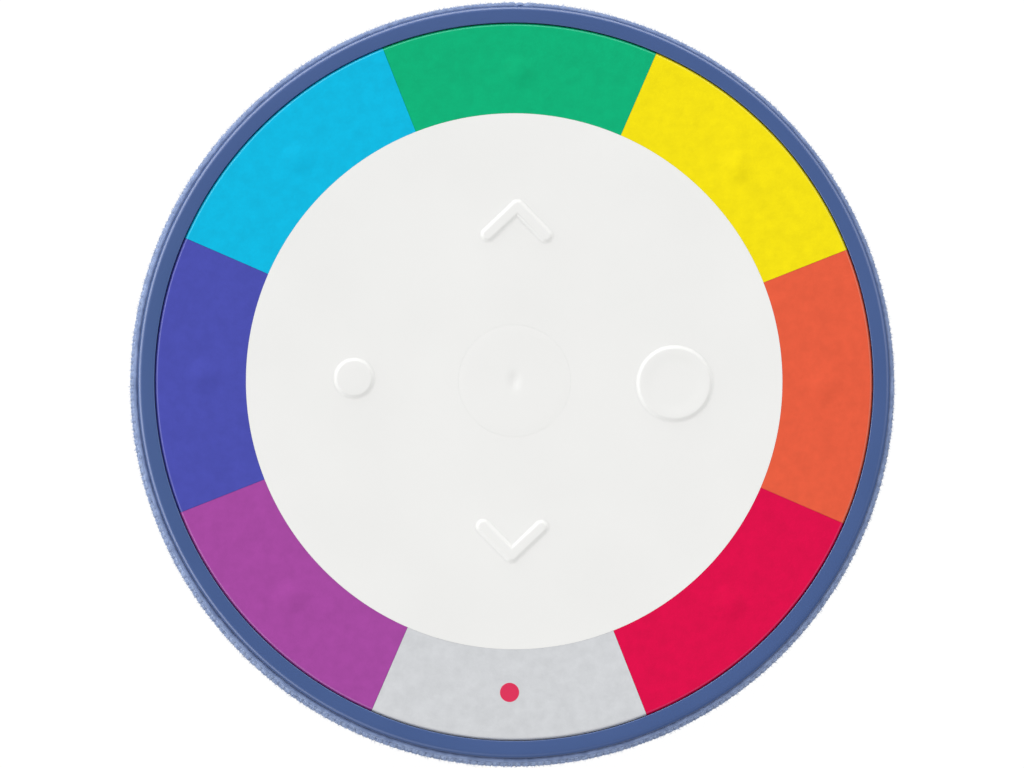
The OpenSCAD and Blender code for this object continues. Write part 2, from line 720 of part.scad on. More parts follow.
// Reversible charging socket: a shell with a tongue, on a moulded base
module usb_socket() {
  y0 = port_front_y - 3.6;
  color("#b9bcc1") difference() {
    union() {
      side_pill(0, 8.94, 3.2, y0, usb_mouth_y);
      translate([-4, y0, port_board_z1]) cube([8, port_front_y - y0, socket_rise - 1]);
    }
    side_pill(0, 8.34, 2.6, usb_mouth_y - 6.6, usb_mouth_y + 1);
  }
  color("#1d1e20") translate([-3.35, usb_mouth_y - 6.6, socket_z - 0.35]) cube([6.7, 5.8, 0.7]);
}

module headphone_jack() {
  back_y = port_front_y - 7.6;
  front_y = port_front_y + 0.2;
  color("#2a2b2e") difference() {
    union() {
      translate([jack_x - 3.2, back_y, port_board_z1])
        cube([6.4, front_y - back_y, 2 * socket_rise]);
      translate([jack_x, front_y - tiny, socket_z]) rotate([-90, 0, 0])
        cylinder(r = jack_nose_r, h = jack_mouth_y - front_y + tiny);
    }
    translate([jack_x, back_y + 0.8, socket_z]) rotate([-90, 0, 0])
      cylinder(d = jack_bore_d, h = jack_mouth_y - back_y + 1);
  }
}

module power_switch() {
  front_y = port_front_y - 1;
  color("#8f9297") difference() {
    translate([-socket_pitch - 4.2, front_y - 4, port_board_z1]) cube([8.4, 4, 2 * socket_rise]);
    translate([slider_x - 1.2, front_y - 2.2, socket_z - 0.95])
      cube([slider_travel + 2.4, 4, 1.9]);
  }
}

module power_slider() {
  y0 = port_front_y - 3;
  y1 = sqrt(plate_y * plate_y - slider_x * slider_x) + 1;
  color("#2a2b2e") difference() {
    translate([slider_x - 1, y0, socket_z - 0.8]) cube([2, y1 - y0, 1.6]);
    for (x = [-0.5, 0.5]) translate([slider_x + x - 0.14, y1 - 0.25, socket_z - 2])
      cube([0.28, 1, 4]);
  }
}

// The curved plate round the sockets, held behind the frame by its flange
module port_plate() {
  lowest = baffle_z1 + 0.15;
  color("#3f5280") difference() {
    union() {
      intersection() {
        skin_shell(0.25, flange_in, rim_seat_z, frame_z1);
        side_pill(0, plate_w, plate_h, body_r / 2, body_r + 1);
      }
      intersection() {
        skin_shell(flange_out, flange_in, lowest, frame_z1);
        side_pill(0, plate_w + 3, plate_h + 3, body_r / 2, body_r + 1);
      }
    }
    side_pill(0, 9.4, 3.66, body_r / 2, body_r + 2);
    translate([jack_x, body_r / 2, socket_z]) rotate([-90, 0, 0])
      cylinder(r = jack_nose_r + 0.15, h = body_r);
    translate([slider_x - 1.3, body_r / 2, socket_z - 1.1])
      cube([slider_travel + 2.6, body_r, 2.2]);
  }
}

module ribbon_sockets() {
  y = port_back_y + 2;
  for (z = [port_board_z1, board_z0 - 1.2])
    color("#e8e6df") translate([-5, y, z]) cube([10, 3, 1.2]);
}

// Flat flexible cable between the two boards
module board_ribbon() {
  y = port_back_y + 2 - wire_end;
  z0 = port_board_z1 + 0.6;
  z1 = board_z0 - 0.6;
  mid = bezier_path([[y, z0], [y - 5, z0], [y - 5, z1], [y, z1]], 16);
  last = len(mid) - 1;
  function side(i, s) = let (t = unit(mid[min(i + 1, last)] - mid[max(i - 1, 0)]))
    mid[i] + s * 0.15 * [-t[1], t[0]];
  color("#d8b25a") translate([-4, 0, 0]) rotate([90, 0, 90]) linear_extrude(8)
    polygon(concat([for (i = [0:last]) side(i, 1)], [for (i = [last:-1:0]) side(i, -1)]));
}

upper_housing();
grille_frame();
knit_sleeve();
base_shell();
rubber_feet();
case_screws();
keypad_field();
key_green();
key_yellow();
key_orange();
key_red();
key_record();
key_purple();
key_blue();
key_sky();
key_up();
key_down();
key_quieter();
key_louder();
key_play();
main_board();
board_screws();
contact_pads();
processor_chip();
memory_chip();
amplifier_chip();
microphone();
battery_tray();
battery_pack();
battery_leads();
battery_plug();
speaker_baffle();
speaker_basket();
speaker_magnet();
speaker_cone();
speaker_surround();
speaker_screws();
speaker_leads();
speaker_plug();
port_board();
port_board_screws();
usb_socket();
headphone_jack();
power_switch();
power_slider();
port_plate();
board_ribbon();
ribbon_sockets();
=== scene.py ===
import json
import math
import random

import bmesh
import bpy
from mathutils import Matrix, Vector, geometry


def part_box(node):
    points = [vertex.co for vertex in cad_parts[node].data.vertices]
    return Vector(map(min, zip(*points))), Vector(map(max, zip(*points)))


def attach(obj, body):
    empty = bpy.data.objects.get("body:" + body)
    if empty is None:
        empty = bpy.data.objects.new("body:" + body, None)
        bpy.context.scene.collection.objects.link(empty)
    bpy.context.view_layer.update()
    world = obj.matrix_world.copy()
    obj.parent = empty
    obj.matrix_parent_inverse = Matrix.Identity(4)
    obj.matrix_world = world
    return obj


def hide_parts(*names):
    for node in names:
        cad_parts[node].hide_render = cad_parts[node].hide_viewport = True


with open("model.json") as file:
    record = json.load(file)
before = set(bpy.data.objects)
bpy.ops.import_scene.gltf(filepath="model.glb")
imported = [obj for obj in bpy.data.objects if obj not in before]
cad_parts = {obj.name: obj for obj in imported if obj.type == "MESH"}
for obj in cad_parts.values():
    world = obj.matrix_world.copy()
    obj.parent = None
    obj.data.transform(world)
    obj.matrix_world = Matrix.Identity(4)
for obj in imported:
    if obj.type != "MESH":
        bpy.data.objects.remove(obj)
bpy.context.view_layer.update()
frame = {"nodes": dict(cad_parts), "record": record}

# ---- Camera ----
# It stands 0.8 m above the key face and leans a little towards the lower left,
# so that more of the sleeve shows on that side. Lengths in this file are in
# millimetres, and MM turns them into the metres of the frame.
MM = 0.001


def box_mm(node):
    """The lowest and highest corners of a CAD node, in millimetres."""
    low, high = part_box(node)
    return [c / MM for c in low], [c / MM for c in high]


face_z = box_mm("keypad_field")[1][2]
camera_far = 800.0
camera_lean = (1.4, 2.6)
camera_roll = math.radians(0.9)
camera_aim = Vector((-0.31, -0.42, face_z))

camera = bpy.data.objects.new("camera", bpy.data.cameras.new("camera"))
camera.data.lens = 217.8
camera.data.sensor_width = 36
camera.data.clip_start = 0.01
bpy.context.collection.objects.link(camera)
bpy.context.scene.camera = camera
bpy.context.scene.view_settings.view_transform = "Standard"
back = Vector((-math.tan(math.radians(camera_lean[0])),
               -math.tan(math.radians(camera_lean[1])), 1)).normalized()
right = Vector((-math.sin(camera_roll), math.cos(camera_roll), 0)).cross(back).normalized()
turn = Matrix((right, back.cross(right), back)).transposed().to_4x4()
camera.matrix_world = Matrix.Translation((camera_aim + back * camera_far) * MM) @ turn

# ---- Studio ----
# A pale floor under a surround that is brightest at the upper left and darkest
# towards the near side. What is mirrored from overhead is dim, as the camera's side
# of a studio is. A soft lamp at the upper left and a weaker one at the right help.


def lamp(name, place, size, watts):
    """A square soft lamp, in metres, that points at the object."""
    light = bpy.data.lights.new(name, "AREA")
    light.size = size
    light.energy = watts
    thing = bpy.data.objects.new(name, light)
    thing.location = place
    aim = Vector((0, 0, face_z * MM)) - Vector(place)
    thing.rotation_euler = aim.to_track_quat("-Z", "Y").to_euler()
    bpy.context.collection.objects.link(thing)


lamp("key_lamp", (-0.7, 0.5, 0.8), 0.8, 0.9)
lamp("fill_lamp", (0.85, 0.3, 0.6), 0.6, 0.8)


def ramp_node(nodes, low, high, at_low, at_high):
    """A smooth step from one value to another between two limits."""
    step = nodes.new("ShaderNodeMapRange")
    step.interpolation_type = "SMOOTHSTEP"
    for label, value in (("From Min", low), ("From Max", high),
                         ("To Min", at_low), ("To Max", at_high)):
        step.inputs[label].default_value = value
    return step


def math_node(nodes, operation, *values):
    """A math node, with the inputs that are given set."""
    node = nodes.new("ShaderNodeMath")
    node.operation = operation
    for socket, value in zip(node.inputs, values):
        if value is not None:
            socket.default_value = value
    return node


def shown_or_lit(nodes, links, shown, lit, out):
    """Shows one shader to the camera, lights the scene with another, and feeds a socket."""
    path = nodes.new("ShaderNodeLightPath")
    blend = nodes.new("ShaderNodeMixShader")
    links.new(path.outputs["Is Camera Ray"], blend.inputs[0])
    links.new(lit.outputs[0], blend.inputs[1])
    links.new(shown.outputs[0], blend.inputs[2])
    links.new(blend.outputs[0], out)


bright_way = Vector((-0.62, 0.6, 0.5)).normalized()
world = bpy.data.worlds.new("surround")
world.use_nodes = True
bpy.context.scene.world = world
nodes, links = world.node_tree.nodes, world.node_tree.links
nodes.clear()
way = nodes.new("ShaderNodeTexCoord")
toward = nodes.new("ShaderNodeVectorMath")
toward.operation = "DOT_PRODUCT"
toward.inputs[1].default_value = bright_way
links.new(way.outputs["Object"], toward.inputs[0])
split = nodes.new("ShaderNodeSeparateXYZ")
links.new(way.outputs["Object"], split.inputs[0])
rays = nodes.new("ShaderNodeLightPath")
side = ramp_node(nodes, -0.8, 0.95, 0.0, 1.0)
links.new(toward.outputs["Value"], side.inputs["Value"])
most = math_node(nodes, "MULTIPLY_ADD", None, 3.0, 1.3)
links.new(rays.outputs["Is Glossy Ray"], most.inputs[0])
least = math_node(nodes, "MULTIPLY_ADD", None, -0.16, 0.2)
links.new(rays.outputs["Is Glossy Ray"], least.inputs[0])
band = math_node(nodes, "MULTIPLY_ADD")
links.new(side.outputs["Result"], band.inputs[0])
links.new(most.outputs[0], band.inputs[1])
links.new(least.outputs[0], band.inputs[2])
lowered = math_node(nodes, "MULTIPLY_ADD", None, -0.06, None)
links.new(rays.outputs["Is Glossy Ray"], lowered.inputs[0])
links.new(split.outputs["Z"], lowered.inputs[2])
ceiling = ramp_node(nodes, 0.25, 0.75, 0.0, 1.0)
links.new(lowered.outputs[0], ceiling.inputs["Value"])
above = ramp_node(nodes, 0.0, 1.0, 0.94, 0.01)
links.new(rays.outputs["Is Glossy Ray"], above.inputs["Value"])
over = nodes.new("ShaderNodeMix")
over.data_type = "FLOAT"
links.new(ceiling.outputs["Result"], over.inputs[0])
links.new(band.outputs[0], over.inputs[2])
links.new(above.outputs["Result"], over.inputs[3])
below = ramp_node(nodes, -0.1, 0.0, 0.24, 0.0)
links.new(split.outputs["Z"], below.inputs["Value"])
upward = ramp_node(nodes, -0.1, 0.0, 0.0, 1.0)
links.new(split.outputs["Z"], upward.inputs["Value"])
strength = math_node(nodes, "MULTIPLY_ADD")
links.new(over.outputs[0], strength.inputs[0])
links.new(upward.outputs["Result"], strength.inputs[1])
links.new(below.outputs["Result"], strength.inputs[2])
lit = nodes.new("ShaderNodeBackground")
lit.inputs["Color"].default_value = (1, 1, 1, 1)
links.new(strength.outputs[0], lit.inputs["Strength"])
shown = nodes.new("ShaderNodeBackground")
shown.inputs["Color"].default_value = (1, 1, 1, 1)
shown.inputs["Strength"].default_value = 1
shown_or_lit(nodes, links, shown, lit, nodes.new("ShaderNodeOutputWorld").inputs[0])

floor_half = 1.6
floor_low = 0.02 * MM
floor_mesh = bpy.data.meshes.new("floor")
floor_mesh.from_pydata([(x * floor_half, y * floor_half, -floor_low) for x, y in
                        ((-1, -1), (1, -1), (1, 1), (-1, 1))], [], [(0, 1, 2, 3)])
floor = bpy.data.objects.new("floor", floor_mesh)
bpy.context.collection.objects.link(floor)
pale = bpy.data.materials.new("pale_floor")
pale.use_nodes = True
nodes, links = pale.node_tree.nodes, pale.node_tree.links
nodes.clear()
glow = nodes.new("ShaderNodeEmission")
glow.inputs["Strength"].default_value = 0.93
chalk = nodes.new("ShaderNodeBsdfDiffuse")
chalk.inputs["Color"].default_value = (0.12, 0.12, 0.12, 1)
sum_up = nodes.new("ShaderNodeAddShader")
links.new(glow.outputs[0], sum_up.inputs[0])
links.new(chalk.outputs[0], sum_up.inputs[1])
clear = nodes.new("ShaderNodeBsdfTransparent")
under = nodes.new("ShaderNodeNewGeometry")
through = nodes.new("ShaderNodeMixShader")
shown_or_lit(nodes, links, sum_up, clear, through.inputs[1])
links.new(under.outputs["Backfacing"], through.inputs[0])
links.new(clear.outputs[0], through.inputs[2])
links.new(through.outputs[0], nodes.new("ShaderNodeOutputMaterial").inputs[0])
floor_mesh.materials.append(pale)

# ---- Upper housing ----
# One moulding in satin blue plastic: the rim that shows round the keys, the deck
# under them and the four long screw bosses. The rim's edges are rounded, and its
# neck sits inside the sleeve's top edge.
housing_low, housing_high = box_mm("upper_housing")
rim_r = housing_high[0]
rim_w = 2.2
rim_h = 2.3
rim_round = 0.7
rim_round_in = 0.12
deck_top = box_mm("keypad_field")[0][2]
deck_t = 1.3
deck_low = deck_top - deck_t
key_plunger_r = 3.0
hole_r = key_plunger_r + 0.15
ring_key_r = box_mm("key_orange")[1][0] - 6.25
mark_r = 20.7
CIRCLE = 288


def polar(r, degrees):
    """A point on a circle round the middle."""
    return (r * math.cos(math.radians(degrees)), r * math.sin(math.radians(degrees)))


def arc(x, y, r, start, end, steps):
    """Points on an arc round (x, y), angles in degrees."""
    return [(x + polar(r, start + (end - start) * i / steps)[0],
             y + polar(r, start + (end - start) * i / steps)[1]) for i in range(steps + 1)]


def linear(rgb):
    """A colour written as 0 to 255 in sRGB, as linear light."""
    part = [c / 255 for c in rgb]
    return (*[c / 12.92 if c <= 0.04045 else ((c + 0.055) / 1.055) ** 2.4 for c in part], 1.0)


def grained(name, rgb, roughness, grain=0.3, depth=0.01, mottle=0.04, patch=8.0,
            sheen=0.0, shine=0.5, metallic=0.0, spread=0.05):
    """A moulded surface: a fine grain in relief, and broad changes of tone and gloss."""
    mat = bpy.data.materials.new(name)
    mat.use_nodes = True
    nodes, links = mat.node_tree.nodes, mat.node_tree.links
    shader = nodes["Principled BSDF"]
    place = nodes.new("ShaderNodeTexCoord")
    fine = nodes.new("ShaderNodeTexNoise")
    fine.inputs["Scale"].default_value = 1 / (grain * MM)
    fine.inputs["Detail"].default_value = 3
    broad = nodes.new("ShaderNodeTexNoise")
    broad.inputs["Scale"].default_value = 1 / (patch * MM)
    broad.inputs["Detail"].default_value = 4
    for texture in (fine, broad):
        links.new(place.outputs["Object"], texture.inputs["Vector"])
    relief = nodes.new("ShaderNodeBump")
    relief.inputs["Distance"].default_value = depth * MM
    links.new(fine.outputs["Fac"], relief.inputs["Height"])
    links.new(relief.outputs["Normal"], shader.inputs["Normal"])
    tone = nodes.new("ShaderNodeValToRGB")
    dark, light = tone.color_ramp.elements
    dark.position, light.position = 0.3, 0.7
    colour = linear(rgb)
    dark.color = (*[c * (1 - mottle) for c in colour[:3]], 1)
    light.color = (*[min(1, c * (1 + mottle)) for c in colour[:3]], 1)
    links.new(broad.outputs["Fac"], tone.inputs["Fac"])
    links.new(tone.outputs["Color"], shader.inputs["Base Color"])
    gloss = nodes.new("ShaderNodeMapRange")
    gloss.inputs["To Min"].default_value = roughness - spread
    gloss.inputs["To Max"].default_value = roughness + spread
    links.new(broad.outputs["Fac"], gloss.inputs["Value"])
    links.new(gloss.outputs["Result"], shader.inputs["Roughness"])
    shader.inputs["Sheen Weight"].default_value = sheen
    shader.inputs["Specular IOR Level"].default_value = shine
    shader.inputs["Metallic"].default_value = metallic
    return mat


def add_piece(name, verts, faces, materials, smooth=30.0, marks=None):
    """Makes a mesh object from millimetres. marks gives the material number of each face."""
    mesh = bpy.data.meshes.new(name)
    mesh.from_pydata([(x * MM, y * MM, z * MM) for x, y, z in verts], [], faces)
    for material in materials:
        mesh.materials.append(material)
    if marks:
        mesh.polygons.foreach_set("material_index", marks)
    mesh.validate()
    work = bmesh.new()
    work.from_mesh(mesh)
    bmesh.ops.recalc_face_normals(work, faces=work.faces)
    work.to_mesh(mesh)
    work.free()
    mesh.shade_smooth()
    mesh.set_sharp_from_angle(angle=math.radians(smooth))
    piece = bpy.data.objects.new(name, mesh)
    bpy.context.collection.objects.link(piece)
    return piece


def join_parts(parts):
    """Puts (verts, faces) parts together as one list of each."""
    verts, faces = [], []
    for part_verts, part_faces in parts:
        start = len(verts)
        verts += part_verts
        faces += [tuple(start + i for i in face) for face in part_faces]
    return verts, faces


def revolve(outline, steps=CIRCLE, at=(0, 0)):
    """A closed outline of (radius, z) turned once round a vertical axis at a place."""
    verts, faces, rings = [], [], []
    for r, z in outline:
        if r < 1e-6:
            rings.append([len(verts)] * steps)
            verts.append((at[0], at[1], z))
        else:
            rings.append(range(len(verts), len(verts) + steps))
            verts += [(at[0] + r * math.cos(math.tau * k / steps),
                       at[1] + r * math.sin(math.tau * k / steps), z) for k in range(steps)]
    count = len(outline)
    for i in range(count):
        a, b = rings[i], rings[(i + 1) % count]
        for k in range(steps):
            face = [a[k], a[(k + 1) % steps], b[(k + 1) % steps], b[k]]
            face = [v for n, v in enumerate(face) if v not in face[:n]]
            if len(face) > 2:
                faces.append(tuple(face))
    return verts, faces


def in_loop(x, y, loop):
    """Whether a point lies inside a closed loop."""
    hit = False
    for (x1, y1), (x2, y2) in zip(loop, loop[1:] + loop[:1]):
        if (y1 > y) != (y2 > y) and x < (x2 - x1) * (y - y1) / (y2 - y1) + x1:
            hit = not hit
    return hit


def flat_plate(outside, holes, z0, z1, fill=()):
    """A flat plate between two heights, with holes, as one closed part."""
    loops = [outside, *holes]
    points, edges = [], []
    for loop in loops:
        start = len(points)
        points += [Vector(p) for p in loop]
        edges += [(start + i, start + (i + 1) % len(loop)) for i in range(len(loop))]
    points += [Vector(p) for p in fill]
    flat, _, tris, *_ = geometry.delaunay_2d_cdt(points, edges, [], 0, 1e-6)
    kept = []
    for tri in tris:
        x = sum(flat[i].x for i in tri) / 3
        y = sum(flat[i].y for i in tri) / 3
        if in_loop(x, y, outside) and not any(in_loop(x, y, hole) for hole in holes):
            kept.append(tuple(tri))
    count = len(flat)
    verts = [(p.x, p.y, z1) for p in flat] + [(p.x, p.y, z0) for p in flat]
    faces = kept + [tuple(count + i for i in reversed(tri)) for tri in kept]
    once = {}
    for tri in kept:
        for a, b in zip(tri, tri[1:] + tri[:1]):
            once[(a, b)] = True
    for a, b in once:
        if (b, a) not in once:
            faces.append((b, a, a + count, b + count))
    return verts, faces


blue_plastic = grained("blue_satin_plastic", (66, 95, 153), 0.3, grain=0.18, depth=0.005,
                       mottle=0.03, patch=14, shine=1.0)
plunger_places = [polar(ring_key_r, 45 * k) for k in range(8)]
plunger_places += [polar(mark_r, 90 * k) for k in range(4)] + [(0, 0)]
neck_r = 48.2
frame_top = box_mm("grille_frame")[1][2]
boss_places = [polar(36.725, a) for a in (22.5, 157.5, 202.5, 337.5)]
rim_outline = [(45.0, deck_low), (45.0, deck_low - 0.9), (46.5, deck_low - 0.9),
               (46.5, frame_top), (neck_r, frame_top), (neck_r, face_z - rim_h),
               (rim_r - 0.2, face_z - rim_h), (rim_r, face_z - rim_h + 0.2)]
rim_outline += arc(rim_r - rim_round, face_z - rim_round, rim_round, 0, 90, 8)
rim_outline += arc(rim_r - rim_w + rim_round_in, face_z - rim_round_in, rim_round_in, 90, 180, 6)
rim_outline += [(rim_r - rim_w, deck_top), (45.0, deck_top)]
deck_holes = [arc(x, y, hole_r, 0, 360 - 9, 39) for x, y in plunger_places]
parts = [revolve(rim_outline),
         flat_plate(arc(0, 0, 45.2, 0, 357.5, 143), deck_holes, deck_low, deck_top)]
for place in boss_places:
    shank = [(1.25, 9.0), (3.2, 9.0), (3.2, 18.7), (4.2, 18.7), (4.2, deck_low + 0.1),
             (1.25, deck_low + 0.1)]
    parts.append(revolve(shank, 48, place))
for angle in (45, 135, 225, 315):
    stub = [(1.0, 27.0), (2.6, 27.0), (2.6, deck_low + 0.1), (1.0, deck_low + 0.1)]
    parts.append(revolve(stub, 32, polar(29, angle)))
housing = add_piece("upper_housing_shell", *join_parts(parts), [blue_plastic])
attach(housing, "player_body")
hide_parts("upper_housing")

# ---- Keys round the edge ----
# Soft silicone, each an eighth of the ring, printed in its own colour, with a
# fine moulded grain and a paler band painted on the rounded outer edge as a highlight.
# Seven have a finger dot. Each has a plunger through the deck, and a black carbon
# pill that meets the pad on the board.
sheet_r = box_mm("key_orange")[1][0]
field_r = box_mm("keypad_field")[1][0]
cap_low = face_z - 2.0
sheet_round = 0.3
parting = 0.012
dot_reach = 2.6
dot_h = 0.4
plunger_low = 28.38
pill_low = box_mm("key_orange")[0][2]
carbon = grained("carbon_rubber", (34, 34, 37), 0.7, grain=0.1)

KEYS = {
    "key_green": (90, (0, 178, 120)),
    "key_yellow": (45, (244, 225, 5)),
    "key_orange": (0, (231, 93, 62)),
    "key_red": (-45, (223, 0, 72)),
    "key_record": (-90, (209, 211, 214)),
    "key_purple": (-135, (166, 72, 161)),
    "key_blue": (180, (74, 79, 176)),
    "key_sky": (135, (0, 185, 226)),
}


def plunger_parts(x, y, top):
    """A key's plunger with its lip, and apart from it the carbon pill."""
    stem = [(0, plunger_low), (3.55, plunger_low), (3.55, deck_low - 0.15),
            (key_plunger_r, deck_low - 0.15), (key_plunger_r, top), (0, top)]
    pill = [(0, pill_low), (2.5, pill_low), (2.6, pill_low + 0.1), (2.6, plunger_low),
            (0, plunger_low)]
    return revolve(stem, 40, (x, y)), revolve(pill, 40, (x, y))


def ring_cap(middle, dotted):
    """An eighth of the ring: its cross-section swept round, with the dot raised on top."""
    inner = field_r + parting
    radii = [inner + (sheet_r - sheet_round - inner) * i / 44 for i in range(45)]
    outline = [(r, face_z) for r in radii]
    outline += arc(sheet_r - sheet_round, face_z - sheet_round, sheet_round, 90, 0, 7)[1:]
    outline += [(sheet_r, face_z - 0.45), (sheet_r + 0.12, face_z - 0.5),
                (sheet_r + 0.12, cap_low), (inner, cap_low)]
    edge = math.degrees(parting / field_r)
    steps = 120
    dot = polar(ring_key_r, middle)
    verts, faces = [], []
    for k in range(steps + 1):
        angle = middle - 22.5 + edge + (45 - 2 * edge) * k / steps
        for r, z in outline:
            x, y = polar(r, angle)
            if dotted and z == face_z:
                near = math.hypot(x - dot[0], y - dot[1]) / dot_reach
                if near < 1:
                    z += dot_h * (0.5 + 0.5 * math.cos(math.pi * near)) ** 0.85
            verts.append((x, y, z))
    count = len(outline)
    marks = []
    for k in range(steps):
        for i in range(count):
            j = (i + 1) % count
            faces.append((k * count + i, k * count + j, (k + 1) * count + j, (k + 1) * count + i))
            # Material 2, a paler copy of the key's colour, goes on the faces of the rounded outer
            # edge: a painted highlight.
            marks.append(2 if len(radii) <= i < len(radii) + 4 else 0)
    faces.append(tuple(range(count)))
    faces.append(tuple(steps * count + i for i in reversed(range(count))))
    return verts, faces, marks + [0, 0]


for name, (middle, rgb) in KEYS.items():
    silicone = grained(name.replace("key", "silicone"), rgb, 0.5, grain=0.42, depth=0.034,
                       mottle=0.045, patch=1.3, shine=0.1)
    # A paler copy of the key's colour, painted on the rounded outer edge as a highlight.
    highlight_rgb = [c + (255 - c) * 0.12 for c in rgb]
    painted_edge_highlight = grained(name.replace("key", "painted_edge_highlight"), highlight_rgb, 0.45, grain=0.42, depth=0.01)
    stem, pill = plunger_parts(*polar(ring_key_r, middle), cap_low + 0.1)
    cap_verts, cap_faces, marks = ring_cap(middle, name != "key_record")
    verts, faces = join_parts([(cap_verts, cap_faces), stem, pill])
    marks += [0] * len(stem[1]) + [1] * len(pill[1])
    key = add_piece(name + "_cap", verts, faces, [silicone, carbon, painted_edge_highlight], marks=marks)
    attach(key, name)
    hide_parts(name)

# ---- Record dot ----
# A red spot printed on the grey key, a thin layer of ink with a soft edge.
dot_r = 1.25
ink = grained("red_ink", (228, 28, 84), 0.45, grain=0.3, depth=0.01)
dot_edge = [(0, face_z - 0.02), (dot_r, face_z - 0.02), (dot_r - 0.03, face_z + 0.02),
            (dot_r * 0.6, face_z + 0.03), (0, face_z + 0.035)]
record_dot = add_piece("record_dot", *revolve(dot_edge, 64, polar(ring_key_r + 0.2, -90)), [ink])
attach(record_dot, "key_record")

# ---- Control marks ----
# White silicone keys that come up through the field: two arrows, a small and a
# large round mark, and the wide middle key with its dimple. Their edges are
# rounded over, and each has the same plunger and pill as a coloured key.
mark_h = 0.3
flange_z = face_z - 1.3
white = grained("white_silicone", (241, 241, 239), 0.42, grain=0.25, depth=0.004,
                mottle=0.012, patch=16, spread=0.04)
arrow_w, arrow_h, arrow_stroke = 9.6, 5.8, 2.1


def arrow_loop(half):
    """The outline of an arrow whose stroke is 2 * half wide, its middle at the origin."""
    end_x = (arrow_w - arrow_stroke) / 2
    end_y = (arrow_h - arrow_stroke) / 2
    slope = math.degrees(math.atan2(2 * end_y, end_x))
    notch = half / math.cos(math.radians(slope))
    loop = arc(0, end_y, half, 90 - slope, 90 + slope, 14)
    loop += arc(-end_x, -end_y, half, 90 + slope, 270 + slope, 16)
    loop += [(0, end_y - notch)]
    loop += arc(end_x, -end_y, half, -90 - slope, 90 - slope, 16)
    return loop


def rounded_stack(loop_of, levels):
    """A closed solid whose outline at each (inset, z) is loop_of(inset)."""
    verts, faces = [], []
    loops = [loop_of(inset) for inset, _ in levels]
    count = len(loops[0])
    for loop, (_, z) in zip(loops, levels):
        verts += [(x, y, z) for x, y in loop]
    for i in range(len(levels) - 1):
        for k in range(count):
            j = (k + 1) % count
            faces.append((i * count + k, i * count + j, (i + 1) * count + j, (i + 1) * count + k))
    faces.append(tuple(reversed(range(count))))
    faces.append(tuple((len(levels) - 1) * count + k for k in range(count)))
    return verts, faces


def turned(part, degrees, shift):
    """A part turned about the vertical axis, then moved."""
    c, s = math.cos(math.radians(degrees)), math.sin(math.radians(degrees))
    verts = [(x * c - y * s + shift[0], x * s + y * c + shift[1], z) for x, y, z in part[0]]
    return verts, part[1]


def mark_key(name, top, place, flange_r):
    """A control key from its top part, with flange, plunger and pill below."""
    stem, pill = plunger_parts(*place, cap_low)
    flange = revolve([(0, cap_low - 0.15), (flange_r, cap_low - 0.15), (flange_r, flange_z),
                      (0, flange_z)], 64, place)
    verts, faces = join_parts([top, flange, stem, pill])
    marks = [0] * (len(faces) - len(pill[1])) + [1] * len(pill[1])
    key = add_piece(name + "_cap", verts, faces, [white, carbon], smooth=42, marks=marks)
    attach(key, name)
    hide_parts(name)


top_z = face_z + mark_h
edge_run = 0.62


def soft_edge(steps=12):
    """How a mark rises from the face to its top: (inset, z), gently at both ends."""
    return [(edge_run * i / steps,
             face_z + mark_h * (0.5 - 0.5 * math.cos(math.pi * i / steps))) for i in range(steps + 1)]


soft = [(0.0, cap_low), *soft_edge(), (0.8, top_z)]
arrow = rounded_stack(lambda inset: arrow_loop(arrow_stroke / 2 - inset), soft)
mark_key("key_up", turned(arrow, 0, (0, mark_r)), (0, mark_r), 5.708)
mark_key("key_down", turned(arrow, 180, (0, -mark_r)), (0, -mark_r), 5.708)

small_r, large_r, middle_r = 5.45 / 2, 10.1 / 2, 14.5 / 2
small_top = [(0, cap_low), (small_r, cap_low)]
small_top += [(small_r - inset, z) for inset, z in soft_edge()]
small_top += [(small_r * 0.4, top_z), (0, top_z)]
mark_key("key_quieter", revolve(small_top, 96, (-mark_r, 0)), (-mark_r, 0), 5.708)
dish, dish_run = 0.1, 1.9
large_top = [(0, cap_low), (large_r, cap_low)]
large_top += [(large_r - inset, z) for inset, z in soft_edge()]
large_top += [(large_r - edge_run - dish_run * i / 10,
               top_z - dish * (0.5 - 0.5 * math.cos(math.pi * i / 10))) for i in range(1, 11)]
large_top += [(0, top_z - dish)]
mark_key("key_louder", revolve(large_top, 144, (mark_r, 0)), (mark_r, 0), 5.708)

# The middle key: all but flush, with a small long dimple pressed in its centre.
dimple_l, dimple_w, dimple_d = 1.9, 1.1, 0.24
ring_steps = [middle_r * i / 40 for i in range(1, 41)]
middle_rise = 0.03
verts, faces = [(0, 0, face_z - dimple_d + middle_rise)], []
for r in ring_steps:
    for k in range(96):
        x, y = polar(r, 360 * k / 96)
        near = math.hypot(x / dimple_w, y / dimple_l)
        rise = middle_rise * min(1, (middle_r - r) / 0.9)
        verts.append((x, y, face_z + rise - dimple_d * math.exp(-3 * near * near)))
for k in range(96):
    faces.append((0, 1 + k, 1 + (k + 1) % 96))
for i in range(39):
    for k in range(96):
        a, b = 1 + i * 96 + k, 1 + i * 96 + (k + 1) % 96
        faces.append((a, a + 96, b + 96, b))
low_start = len(verts)
verts += [(*polar(middle_r, 360 * k / 96), cap_low) for k in range(96)]
for k in range(96):
    j = (k + 1) % 96
    faces.append((1 + 39 * 96 + k, low_start + k, low_start + j, 1 + 39 * 96 + j))
faces.append(tuple(low_start + k for k in reversed(range(96))))
mark_key("key_play", (verts, faces), (0, 0), 7.95)

